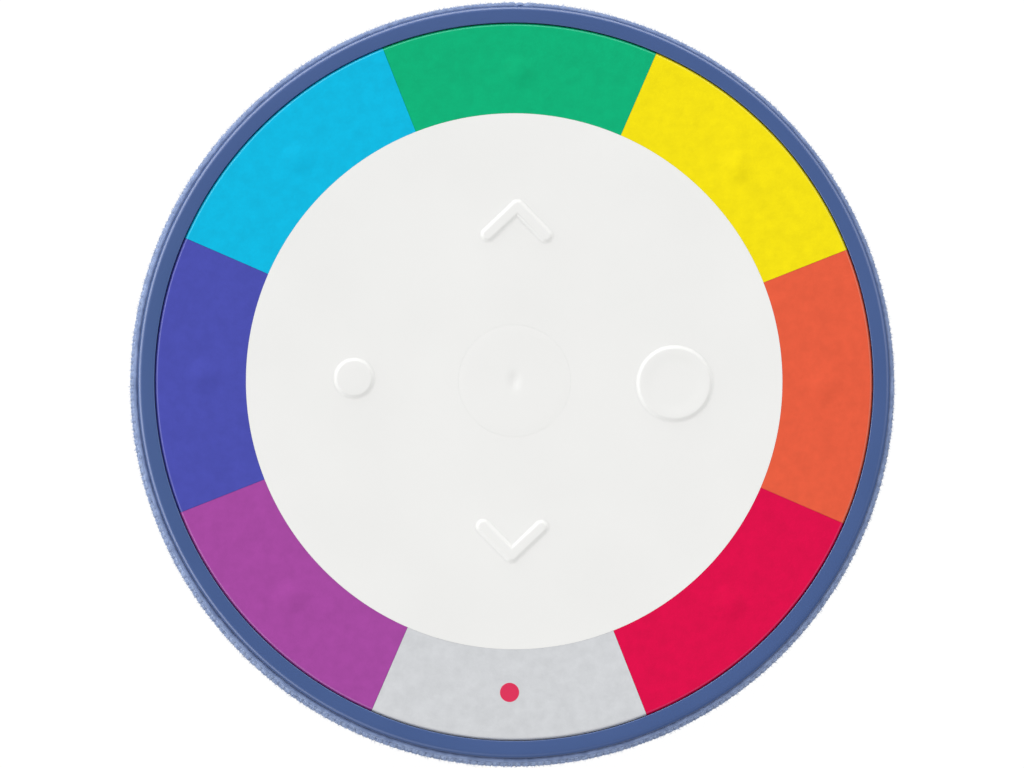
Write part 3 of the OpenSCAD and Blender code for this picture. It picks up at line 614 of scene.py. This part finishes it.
# ---- Pale field ----
# The plain white middle of the key sheet, smooth and slightly satin, moulded with
# an opening for each control key and a rib underneath that stands on the deck.
field_gap = 0.006
field_holes = [[(x, y + mark_r) for x, y in arrow_loop(arrow_stroke / 2 + field_gap)],
               [(-x, -y - mark_r) for x, y in arrow_loop(arrow_stroke / 2 + field_gap)],
               arc(-mark_r, 0, small_r + field_gap, 0, 356.25, 95),
               arc(mark_r, 0, large_r + field_gap, 0, 357.5, 143),
               arc(0, 0, middle_r + field_gap, 0, 356.25, 95)]
rib = [(field_r - 2.1, deck_top), (field_r - 0.6, deck_top), (field_r - 0.6, cap_low + 1.2),
       (field_r - 2.1, cap_low + 1.2)]
parts = [flat_plate(arc(0, 0, field_r, 0, 359, 359), field_holes, flange_z + 0.13, face_z),
         revolve(rib, 144)]
parts += [revolve([(0, deck_top), (2.2, deck_top), (2.2, cap_low + 1), (0, cap_low + 1)], 32,
                  polar(mark_r * 0.58, a)) for a in (45, 135, 225, 315)]
field = add_piece("white_field", *join_parts(parts), [white])
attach(field, "player_body")
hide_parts("keypad_field")

# ---- Grille frame ----
# The dark ring wall under the sleeve, slotted below the baffle to let the sound
# out. It is the CAD node as it is, and only its finish is set here.
dark_plastic = grained("dark_textured_plastic", (44, 48, 56), 0.55, grain=0.25, depth=0.02,
                       mottle=0.05, patch=9)
frame["nodes"]["grille_frame"].material_slots[0].material = dark_plastic

# ---- Knitted sleeve ----
# A tube of blue-grey knit, cut flat, sewn into a ring at the back and pulled over
# the grille frame. The cloth is one thin sheet; the loops of the knit lie on it
# in columns and rows, and a rolled hem finishes each edge and the socket window.
widest_z = 23.0
body_r = box_mm("knit_sleeve")[1][0]
sleeve_low, sleeve_top = box_mm("knit_sleeve")[0][2], box_mm("knit_sleeve")[1][2]
sleeve_step = 0.55
step_out = body_r - rim_r - sleeve_step
skin_arc = ((sleeve_top - widest_z) ** 2 + step_out ** 2) / (2 * step_out)
skin_x = body_r - skin_arc
socket_z = 13.4
plate_w, plate_h = 34.0, 8.5
seam_x = 0.1


def skin_r(z, inset=0.0):
    """The sleeve's outer radius at a height, less a depth measured square to it."""
    return skin_x + math.sqrt((skin_arc - inset) ** 2 - (z - widest_z) ** 2)


def seam_dip(x, y):
    """How far the surface sinks into the seam at the back, in millimetres."""
    if y < 0:
        return 0.0
    near = abs(x - seam_x)
    return 0.6 * math.exp(-(near / 0.5) ** 2) - 0.05 * math.exp(-((near - 1.3) / 0.5) ** 2)


def tuck(z):
    """How far the cloth turns in at its top and bottom edges."""
    top = max(0.0, min(1.0, (z - sleeve_top + 1.1) / 1.1))
    low = max(0.0, min(1.0, (sleeve_low + 1.0 - z) / 1.0))
    return 0.2 * top * top + 0.3 * low * low


def skin_point(degrees, z, inset=0.0):
    """A point on the sleeve, at an angle and a height."""
    x, y = polar(skin_r(z, inset), degrees)
    r = skin_r(z, inset + tuck(z) + seam_dip(x, y))
    return (*polar(r, degrees), z)


def in_window(x, y, z, margin):
    """Whether a point lies in the socket window, made larger by a margin."""
    if y < 0 or abs(z - socket_z) > plate_h / 2 + margin:
        return False
    along = max(0.0, abs(x) - (plate_w - plate_h) / 2)
    return math.hypot(along, z - socket_z) < plate_h / 2 + margin


def knit_material(name, rgb, deep):
    """Yarn: light on the crown of each loop, dark between them, with fine fibres."""
    mat = bpy.data.materials.new(name)
    mat.use_nodes = True
    nodes, links = mat.node_tree.nodes, mat.node_tree.links
    shader = nodes["Principled BSDF"]
    place = nodes.new("ShaderNodeTexCoord")
    tone = nodes.new("ShaderNodeAttribute")
    tone.attribute_name = "tone"
    fibre = nodes.new("ShaderNodeTexNoise")
    fibre.inputs["Scale"].default_value = 1 / (0.09 * MM)
    fibre.inputs["Detail"].default_value = 2
    cloud = nodes.new("ShaderNodeTexNoise")
    cloud.inputs["Scale"].default_value = 1 / (1.1 * MM)
    cloud.inputs["Detail"].default_value = 3
    for texture in (fibre, cloud):
        links.new(place.outputs["Object"], texture.inputs["Vector"])
    total = nodes.new("ShaderNodeMath")
    total.operation = "MULTIPLY_ADD"
    total.inputs[1].default_value = 0.4
    links.new(tone.outputs["Fac"], total.inputs[0])
    links.new(cloud.outputs["Fac"], total.inputs[2])
    ramp = nodes.new("ShaderNodeValToRGB")
    ramp.color_ramp.elements[0].position = 0.3
    ramp.color_ramp.elements[1].position = 0.92
    ramp.color_ramp.elements[0].color = linear(deep)
    ramp.color_ramp.elements[1].color = linear(rgb)
    links.new(total.outputs[0], ramp.inputs["Fac"])
    links.new(ramp.outputs["Color"], shader.inputs["Base Color"])
    relief = nodes.new("ShaderNodeBump")
    relief.inputs["Distance"].default_value = 0.03 * MM
    links.new(fibre.outputs["Fac"], relief.inputs["Height"])
    links.new(relief.outputs["Normal"], shader.inputs["Normal"])
    shader.inputs["Roughness"].default_value = 0.85
    shader.inputs["Sheen Weight"].default_value = 0.1
    shader.inputs["Sheen Roughness"].default_value = 0.4
    return mat


yarn = knit_material("blue_grey_yarn", (184, 204, 244), (128, 148, 192))
backing = grained("sleeve_cloth", (92, 108, 148), 0.9, grain=0.2, depth=0.06, mottle=0.12,
                  patch=1.2, sheen=0.2)

# The cloth: a thin closed band with the window cut out of it.
cloth_in, cloth_t = 0.42, 0.32
columns, rows = 720, 60
rims = {}
verts, faces = [], []
for side, inset in enumerate((cloth_in, cloth_in + cloth_t)):
    for j in range(rows + 1):
        z = sleeve_low + 0.1 + (sleeve_top - sleeve_low - 0.25) * j / rows
        verts += [skin_point(360 * k / columns, z, inset) for k in range(columns)]
layer = columns * (rows + 1)
kept = set()
for j in range(rows):
    for k in range(columns):
        m = (k + 1) % columns
        quad = [j * columns + k, j * columns + m, (j + 1) * columns + m, (j + 1) * columns + k]
        x, y, z = (sum(verts[i][n] for i in quad) / 4 for n in range(3))
        if not in_window(x, y, z, 0.15):
            kept.add(tuple(quad))
once = {}
for quad in kept:
    faces.append(quad)
    faces.append(tuple(layer + i for i in reversed(quad)))
    for a, b in zip(quad, quad[1:] + quad[:1]):
        once[(a, b)] = True
faces += [(b, a, a + layer, b + layer) for a, b in once if (b, a) not in once]
cloth = add_piece("sleeve_cloth", verts, faces, [backing], smooth=60)
work = bmesh.new()
work.from_mesh(cloth.data)
bmesh.ops.delete(work, geom=[v for v in work.verts if not v.link_faces], context="VERTS")
work.to_mesh(cloth.data)
work.free()
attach(cloth, "player_body")
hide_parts("knit_sleeve")

# The loops: one V of two plump legs in each cell of the knit.
wale, course = 0.98, 0.8
leg_l, leg_w, leg_t = 0.62, 0.25, 0.22


def leg_part(side):
    """One leg of a loop, leaning to its side, as a tapered five-sided bead."""
    lean = math.radians(24) * side
    spine = ((-1.0, 0.0), (-0.62, 0.82), (0.05, 1.0), (0.66, 0.78), (1.0, 0.0))
    verts, faces = [], []
    for along, fat in spine:
        for k in range(5 if fat else 1):
            across = fat * leg_w * math.cos(math.tau * k / 5 + 0.3)
            lift = fat * leg_t * math.sin(math.tau * k / 5 + 0.3)
            y = along * leg_l
            x = side * 0.235 + across * math.cos(lean) + y * math.sin(lean)
            verts.append((x, y * math.cos(lean) - across * math.sin(lean), lift + 0.05 * along))
    faces += [(0, 1 + (k + 1) % 5, 1 + k) for k in range(5)]
    for ring in (1, 6):
        for k in range(5):
            m = (k + 1) % 5
            faces.append((ring + k, ring + m, ring + 5 + m, ring + 5 + k))
    faces += [(11 + k, 11 + (k + 1) % 5, 16) for k in range(5)]
    return verts, faces


loop_shape = add_piece("loop_shape", *join_parts([leg_part(-1), leg_part(1)]), [yarn], smooth=180)


def new_tree(name, sockets):
    """A Geometry Nodes tree with a geometry in and out, and named inputs."""
    tree = bpy.data.node_groups.new(name, "GeometryNodeTree")
    tree.interface.new_socket("Geometry", in_out="INPUT", socket_type="NodeSocketGeometry")
    for label, kind in sockets:
        tree.interface.new_socket(label, in_out="INPUT", socket_type=kind)
    tree.interface.new_socket("Geometry", in_out="OUTPUT", socket_type="NodeSocketGeometry")
    return tree, tree.nodes.new("NodeGroupInput"), tree.nodes.new("NodeGroupOutput")


def place_tree():
    """Puts a copy of a shape on each face, turned by the face's own two directions."""
    tree, given, result = new_tree("place_on_faces", [
        ("Shape", "NodeSocketObject"), ("Material", "NodeSocketMaterial"),
        ("Size Change", "NodeSocketFloat"), ("Turn Change", "NodeSocketFloat"),
        ("Seed", "NodeSocketInt")])
    nodes, links = tree.nodes, tree.links
    points = nodes.new("GeometryNodeMeshToPoints")
    points.mode = "FACES"
    shape = nodes.new("GeometryNodeObjectInfo")
    across = nodes.new("GeometryNodeInputNamedAttribute")
    outward = nodes.new("GeometryNodeInputNamedAttribute")
    for node, label in ((across, "across"), (outward, "outward")):
        node.data_type = "FLOAT_VECTOR"
        node.inputs["Name"].default_value = label
    axes = nodes.new("FunctionNodeAxesToRotation")
    axes.primary_axis = "Z"
    axes.secondary_axis = "X"
    copies = nodes.new("GeometryNodeInstanceOnPoints")
    size = nodes.new("FunctionNodeRandomValue")
    size.data_type = "FLOAT"
    wobble = nodes.new("FunctionNodeRandomValue")
    wobble.data_type = "FLOAT"
    shade = nodes.new("FunctionNodeRandomValue")
    shade.data_type = "FLOAT"
    spin = nodes.new("GeometryNodeRotateInstances")
    low = nodes.new("ShaderNodeMath")
    low.operation = "SUBTRACT"
    low.inputs[0].default_value = 1
    high = nodes.new("ShaderNodeMath")
    high.operation = "ADD"
    high.inputs[0].default_value = 1
    negative = nodes.new("ShaderNodeMath")
    negative.operation = "MULTIPLY"
    negative.inputs[1].default_value = -1
    vector = nodes.new("ShaderNodeCombineXYZ")
    tone = nodes.new("GeometryNodeStoreNamedAttribute")
    tone.data_type = "FLOAT"
    tone.domain = "INSTANCE"
    tone.inputs["Name"].default_value = "tone"
    real = nodes.new("GeometryNodeRealizeInstances")
    cover = nodes.new("GeometryNodeSetMaterial")
    links.new(given.outputs["Geometry"], points.inputs["Mesh"])
    links.new(given.outputs["Shape"], shape.inputs["Object"])
    links.new(outward.outputs["Attribute"], axes.inputs["Primary Axis"])
    links.new(across.outputs["Attribute"], axes.inputs["Secondary Axis"])
    links.new(points.outputs["Points"], copies.inputs["Points"])
    links.new(shape.outputs["Geometry"], copies.inputs["Instance"])
    links.new(axes.outputs["Rotation"], copies.inputs["Rotation"])
    links.new(given.outputs["Size Change"], low.inputs[1])
    links.new(given.outputs["Size Change"], high.inputs[1])
    links.new(low.outputs[0], size.inputs[2])
    links.new(high.outputs[0], size.inputs[3])
    links.new(size.outputs[1], copies.inputs["Scale"])
    links.new(given.outputs["Turn Change"], negative.inputs[0])
    links.new(negative.outputs[0], wobble.inputs[2])
    links.new(given.outputs["Turn Change"], wobble.inputs[3])
    for node in (size, wobble, shade):
        links.new(given.outputs["Seed"], node.inputs["Seed"])
    links.new(wobble.outputs[1], vector.inputs["Z"])
    links.new(copies.outputs["Instances"], spin.inputs["Instances"])
    links.new(vector.outputs["Vector"], spin.inputs["Rotation"])
    links.new(spin.outputs["Instances"], tone.inputs["Geometry"])
    links.new(shade.outputs[1], tone.inputs["Value"])
    links.new(tone.outputs["Geometry"], real.inputs["Geometry"])
    links.new(real.outputs["Geometry"], cover.inputs["Geometry"])
    links.new(given.outputs["Material"], cover.inputs["Material"])
    links.new(cover.outputs["Geometry"], result.inputs["Geometry"])
    return tree


placing = place_tree()


def set_inputs(modifier, values):
    """Sets a modifier's named inputs, by the identifier of each socket."""
    for item in modifier.node_group.interface.items_tree:
        if item.item_type == "SOCKET" and item.in_out == "INPUT" and item.name in values:
            modifier[item.identifier] = values[item.name]


def scatter(name, spots, shape, material, size_change=0.0, turn_change=0.0, seed=1):
    """Copies a shape onto spots (point, across, outward) and returns one plain mesh."""
    small = 0.01
    verts, faces = [], []
    for spot, across, outward in spots:
        start = len(verts)
        up = Vector(outward).cross(Vector(across))
        for a, b in ((-1, -1), (1, -1), (1, 1), (-1, 1)):
            verts.append(Vector(spot) + Vector(across) * a * small + up * b * small)
        faces.append((start, start + 1, start + 2, start + 3))
    mesh = bpy.data.meshes.new(name + "_spots")
    mesh.from_pydata([v * MM for v in verts], [], faces)
    for label, index in (("across", 1), ("outward", 2)):
        layer = mesh.attributes.new(label, "FLOAT_VECTOR", "FACE")
        layer.data.foreach_set("vector", [c for spot in spots for c in spot[index]])
    host = bpy.data.objects.new(name + "_spots", mesh)
    bpy.context.collection.objects.link(host)
    modifier = host.modifiers.new("placing", "NODES")
    modifier.node_group = placing
    set_inputs(modifier, {"Shape": shape, "Material": material, "Size Change": size_change,
                          "Turn Change": turn_change, "Seed": seed})
    bpy.context.view_layer.update()
    seen = host.evaluated_get(bpy.context.evaluated_depsgraph_get())
    result = bpy.data.meshes.new_from_object(seen)
    result.name = name
    host.modifiers.clear()
    bpy.data.objects.remove(host)
    if not result.materials:
        result.materials.append(material)
    result.shade_smooth()
    piece = bpy.data.objects.new(name, result)
    bpy.context.collection.objects.link(piece)
    return piece


def skin_frame(degrees, z, inset):
    """A point of the sleeve with the directions across and out of it."""
    point = Vector(skin_point(degrees, z, inset))
    side = Vector(skin_point(degrees + 0.3, z, inset)) - Vector(skin_point(degrees - 0.3, z, inset))
    rise = Vector(skin_point(degrees, z + 0.2, inset)) - Vector(skin_point(degrees, z - 0.2, inset))
    across = side.normalized()
    return point, across, across.cross(rise).normalized()


wales = round(math.tau * body_r / wale)
courses = round((sleeve_top - sleeve_low - 0.7) / course)
quarters = [[], [], [], []]
for k in range(wales):
    degrees = 90 + 360 * (k + 0.5) / wales
    for j in range(courses):
        z = sleeve_low + 0.45 + course * (j + 0.5)
        x, y = polar(skin_r(z), degrees)
        if in_window(x, y, z, 0.75) or (y > 0 and abs(x - seam_x) < 0.2):
            continue
        quarters[int(4 * k / wales)].append(skin_frame(degrees, z, 0.3))
knit_names = ("knit_back_left", "knit_front_left", "knit_front_right", "knit_back_right")
knits = [scatter(name, spots, loop_shape, yarn, 0.07, 0.09, 11 + n)
         for n, (name, spots) in enumerate(zip(knit_names, quarters))]
for knit in knits:
    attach(knit, "player_body")


def tube(path, radius, sides=10, closed=True):
    """A round tube along a path, with its ends capped where it isn't closed."""
    count = len(path)
    verts, faces = [], []
    reference = Vector((0, 0, 1))
    for i in range(count):
        before = path[i - 1] if closed or i else path[i]
        after = path[(i + 1) % count] if closed or i < count - 1 else path[i]
        along = (Vector(after) - Vector(before)).normalized()
        side = along.cross(reference)
        if side.length < 0.2:
            side = along.cross(Vector((0.3, 1, 0)))
        side.normalize()
        up = side.cross(along)
        for k in range(sides):
            c, s = math.cos(math.tau * k / sides), math.sin(math.tau * k / sides)
            verts.append(tuple(Vector(path[i]) + radius * (side * c + up * s)))
    for i in range(count if closed else count - 1):
        j = (i + 1) % count
        for k in range(sides):
            m = (k + 1) % sides
            faces.append((i * sides + k, i * sides + m, j * sides + m, j * sides + k))
    if not closed:
        faces.append(tuple(reversed(range(sides))))
        faces.append(tuple((count - 1) * sides + k for k in range(sides)))
    return verts, faces


# The hems: a rolled edge round the top, the bottom and the window.
hem_yarn = knit_material("hem_yarn", (174, 194, 236), (122, 142, 186))
low_hem = tube([skin_point(k, sleeve_low + 0.35, 0.42) for k in range(360)], 0.34)
top_hem = tube([skin_point(k, sleeve_top - 0.42, 0.25) for k in range(360)], 0.3)
window = []
for x, z in (arc((plate_w - plate_h) / 2, 0, plate_h / 2 + 0.42, -90, 90, 24)
             + arc((plate_h - plate_w) / 2, 0, plate_h / 2 + 0.42, 90, 270, 24)):
    window.append((x, z + socket_z))
path = []
for (x, z), (x2, z2) in zip(window, window[1:] + window[:1]):
    steps = max(1, round(math.hypot(x2 - x, z2 - z) / 0.6))
    for i in range(steps):
        u, w = x + (x2 - x) * i / steps, z + (z2 - z) * i / steps
        path.append((u, math.sqrt(skin_r(w, 0.34) ** 2 - u * u), w))
verts, faces = join_parts([low_hem, top_hem, tube(path, 0.34)])
hems = add_piece("sleeve_hems", verts, faces, [hem_yarn], smooth=180)
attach(hems, "player_body")

# The seam: short bars of thread that draw the two edges of the knit together.
bar = add_piece("thread_shape", *tube([(-0.75 + 0.15 * i, 0, 0.3 - 0.36 * ((i - 5) / 5) ** 2)
                                       for i in range(11)], 0.17, 6, False), [hem_yarn], smooth=180)
spots = []
for j in range(34):
    z = sleeve_low + 0.8 + 0.76 * j
    if abs(z - socket_z) > plate_h / 2 + 0.8 and z < sleeve_top - 0.6:
        point = Vector((seam_x, skin_r(z, 0.5), z))
        spots.append((point, (-1, 0, 0), (0, 1, 0)))
seam = scatter("seam_thread", spots, bar, hem_yarn, 0.04, 0.12, 5)
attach(seam, "player_body")
bpy.data.objects.remove(bar)
bpy.data.objects.remove(loop_shape)

# The fuzz: short loose fibre ends that stand off the yarn in every direction.
fibre_ends = 14000
fibre_l, fibre_r = 0.42, 0.017
shape_verts = [(fibre_r * math.cos(math.tau * k / 3) + bend, fibre_r * math.sin(math.tau * k / 3), up)
               for up, bend in ((0, 0), (0.55 * fibre_l, 0.06)) for k in range(3)]
shape_verts.append((0.2, 0, fibre_l))
shape_faces = [(2, 1, 0)]
for k in range(3):
    m = (k + 1) % 3
    shape_faces += [(k, m, m + 3, k + 3), (k + 3, m + 3, 6)]
fibre = add_piece("fibre_shape", shape_verts, shape_faces, [yarn], smooth=180)
chance = random.Random(29)
spots = []
while len(spots) < fibre_ends:
    degrees = chance.uniform(0, 360)
    z = chance.uniform(sleeve_low + 0.6, sleeve_top - 0.9)
    x, y = polar(skin_r(z), degrees)
    if in_window(x, y, z, 0.9) or (y > 0 and abs(x - seam_x) < 0.5):
        continue
    point, across, outward = skin_frame(degrees, z, 0.28)
    around = chance.uniform(0, math.tau)
    flat = math.cos(around) * across + math.sin(around) * outward.cross(across)
    lean = (outward + flat * chance.uniform(0, 1.6)).normalized()
    spots.append((point, lean.orthogonal().normalized(), lean))
fuzz = scatter("sleeve_fuzz", spots, fibre, yarn, 0.45, 3.14, 31)
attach(fuzz, "player_body")
bpy.data.objects.remove(fibre)

# ---- Base shell ----
# The dark tray that closes the underside: a rounded foot rim, four screw wells
# and four round seats. A copy of the CAD part with its edges rounded over.


def finished_copy(node, name, materials, body="player_body", round_mm=0.15, smooth=35):
    """A CAD node's mesh, its edges rounded over, as a piece that stands for the node."""
    source = frame["nodes"][node]
    mesh = source.data.copy()
    mesh.name = name
    mesh.transform(source.matrix_world)
    work = bmesh.new()
    work.from_mesh(mesh)
    bmesh.ops.remove_doubles(work, verts=work.verts, dist=0.002 * MM)
    bmesh.ops.dissolve_limit(work, angle_limit=math.radians(1), verts=work.verts,
                             edges=work.edges)
    bmesh.ops.recalc_face_normals(work, faces=work.faces)
    work.to_mesh(mesh)
    work.free()
    mesh.materials.clear()
    for material in materials:
        mesh.materials.append(material)
    piece = bpy.data.objects.new(name, mesh)
    bpy.context.collection.objects.link(piece)
    if round_mm:
        bevel = piece.modifiers.new("round", "BEVEL")
        bevel.width = round_mm * MM
        bevel.segments = 2
        bevel.limit_method = "ANGLE"
        bevel.angle_limit = math.radians(40)
        bevel.use_clamp_overlap = True
        bpy.context.view_layer.update()
        seen = piece.evaluated_get(bpy.context.evaluated_depsgraph_get())
        made = bpy.data.meshes.new_from_object(seen)
        piece.modifiers.clear()
        piece.data = made
        made.name = name
    piece.data.shade_smooth()
    piece.data.set_sharp_from_angle(angle=math.radians(smooth))
    for face in piece.data.polygons:
        face.use_smooth = abs(face.normal.z) < 0.9999
    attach(piece, body)
    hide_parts(node)
    return piece


base = finished_copy("base_shell", "base_tray", [dark_plastic], round_mm=0.25)

# ---- Rubber feet ----
# Four soft discs pressed into the seats of the base, a little proud of it.
rubber = grained("foot_rubber", (30, 31, 34), 0.8, grain=0.12, depth=0.012, mottle=0.06, patch=3)
feet = finished_copy("rubber_feet", "foot_discs", [rubber], round_mm=0.3)

# ---- Case screws ----
# Four cross-head steel screws, sunk in the wells of the base.
steel = grained("screw_steel", (152, 154, 158), 0.32, grain=0.08, depth=0.002, mottle=0.05,
                patch=1.5, metallic=1.0)
screws = finished_copy("case_screws", "case_screw_heads", [steel], round_mm=0.06)

# ---- Port plate ----
# The smooth blue plate in the sleeve's window at the back, with its three
# openings: the switch slot, the charging socket and the headphone socket.
plate_plastic = grained("plate_plastic", (60, 78, 126), 0.38, grain=0.2, depth=0.006,
                        mottle=0.03, patch=8)
plate = finished_copy("port_plate", "port_plate_face", [plate_plastic],
                      round_mm=0.12)

# ---- Charging socket ----
# A drawn steel shell with a black tongue, and twelve gold contacts on each side
# of the tongue. The shell's mouth stands just inside the plate.
nickel = grained("nickel_shell", (196, 198, 202), 0.25, grain=0.1, depth=0.001, mottle=0.03,
                 patch=2, metallic=1.0)
black_resin = grained("black_resin", (24, 25, 28), 0.45, grain=0.15, mottle=0.04, patch=2)
gold = grained("gold_contact", (226, 178, 88), 0.25, grain=0.05, depth=0.001, metallic=1.0)
tongue_w, tongue_t = 6.7, 0.7
usb = finished_copy("usb_socket", "usb_shell", [nickel, black_resin], round_mm=0)
for face in usb.data.polygons:
    x, _, z = (c / MM for c in face.center)
    if abs(x) < tongue_w / 2 + 0.01 and abs(z - socket_z) < tongue_t / 2 + 0.01:
        face.material_index = 1
usb_mouth = box_mm("usb_socket")[1][1]
half = (0.14, 1.6, 0.02)
corners = [(a * half[0], b * half[1], c * half[2]) for c in (-1, 1)
           for a, b in ((-1, -1), (1, -1), (1, 1), (-1, 1))]
box_faces = [(3, 2, 1, 0), (4, 5, 6, 7), (0, 1, 5, 4), (1, 2, 6, 5), (2, 3, 7, 6), (3, 0, 4, 7)]
contact = add_piece("contact_shape", corners, box_faces, [gold])
spots = [(Vector((0.5 * (n - 5.5), usb_mouth - 2.6, socket_z + side * (tongue_t / 2 + 0.012))),
          (side, 0, 0), (0, 0, side)) for n in range(12) for side in (-1, 1)]
contacts = scatter("usb_contacts", spots, contact, gold)
contacts.data.shade_flat()
bpy.data.objects.remove(contact)
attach(contacts, "player_body")

# ---- Headphone socket ----
# A black moulded socket with a thin bright ring round its mouth, which stands
# a little inside the plate.
jack = finished_copy("headphone_jack", "jack_body", [black_resin], round_mm=0.05)
jack_x = 11.0
jack_mouth = box_mm("headphone_jack")[1][1]
ring_outline = [(1.84, -0.5), (2.45, -0.5), (2.45, 0.04), (2.38, 0.09), (2.0, 0.09), (1.84, -0.06)]
verts, faces = revolve(ring_outline, 64)
verts = [(jack_x + x, jack_mouth + up, socket_z - y) for x, y, up in verts]
jack_ring = add_piece("jack_ring", verts, faces, [nickel])
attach(jack_ring, "player_body")

# ---- Power switch ----
# The slide switch behind the plate, and the ribbed black thumb piece that comes
# out through the plate's slot.
finished_copy("power_switch", "switch_case", [nickel], round_mm=0.08)
thumb = finished_copy("power_slider", "switch_thumb", [black_resin],
                      body="power_slider", round_mm=0.12)

# ---- Inner parts ----
# What the housing closes in: boards, chips, battery, speaker and leads. They are
# the CAD nodes, each given a finish for the slot it has in the record.
board_green = grained("board_green", (28, 104, 66), 0.35, grain=0.5, depth=0.004, mottle=0.1, patch=3)
tray_white = grained("tray_plastic", (216, 217, 214), 0.5)
foil = grained("cell_foil", (160, 166, 174), 0.3, grain=0.6, depth=0.02, metallic=0.9)
nylon = grained("plug_nylon", (232, 230, 222), 0.5)
paper = grained("cone_paper", (34, 36, 39), 0.85, grain=0.15, depth=0.02, mottle=0.1, patch=1.2)
film = grained("ribbon_film", (214, 168, 74), 0.3)
magnet = grained("magnet_steel", (138, 141, 146), 0.3, metallic=1.0)
FINISHES = {"board_green": board_green, "pad_gold": gold, "chip_black": black_resin,
            "can_metal": nickel, "tray_plastic": tray_white, "cell_foil": foil,
            "wire_jacket": rubber, "plug_nylon": nylon, "magnet_steel": magnet,
            "cone_paper": paper, "surround_rubber": rubber, "ribbon_film": film,
            "screw_steel": steel, "dark_plastic": dark_plastic}
for part in frame["record"]["subparts"]:
    node = frame["nodes"][part["node"]]
    finish = FINISHES.get(part["material_slot"])
    if finish and node.material_slots:
        node.material_slots[0].material = finish
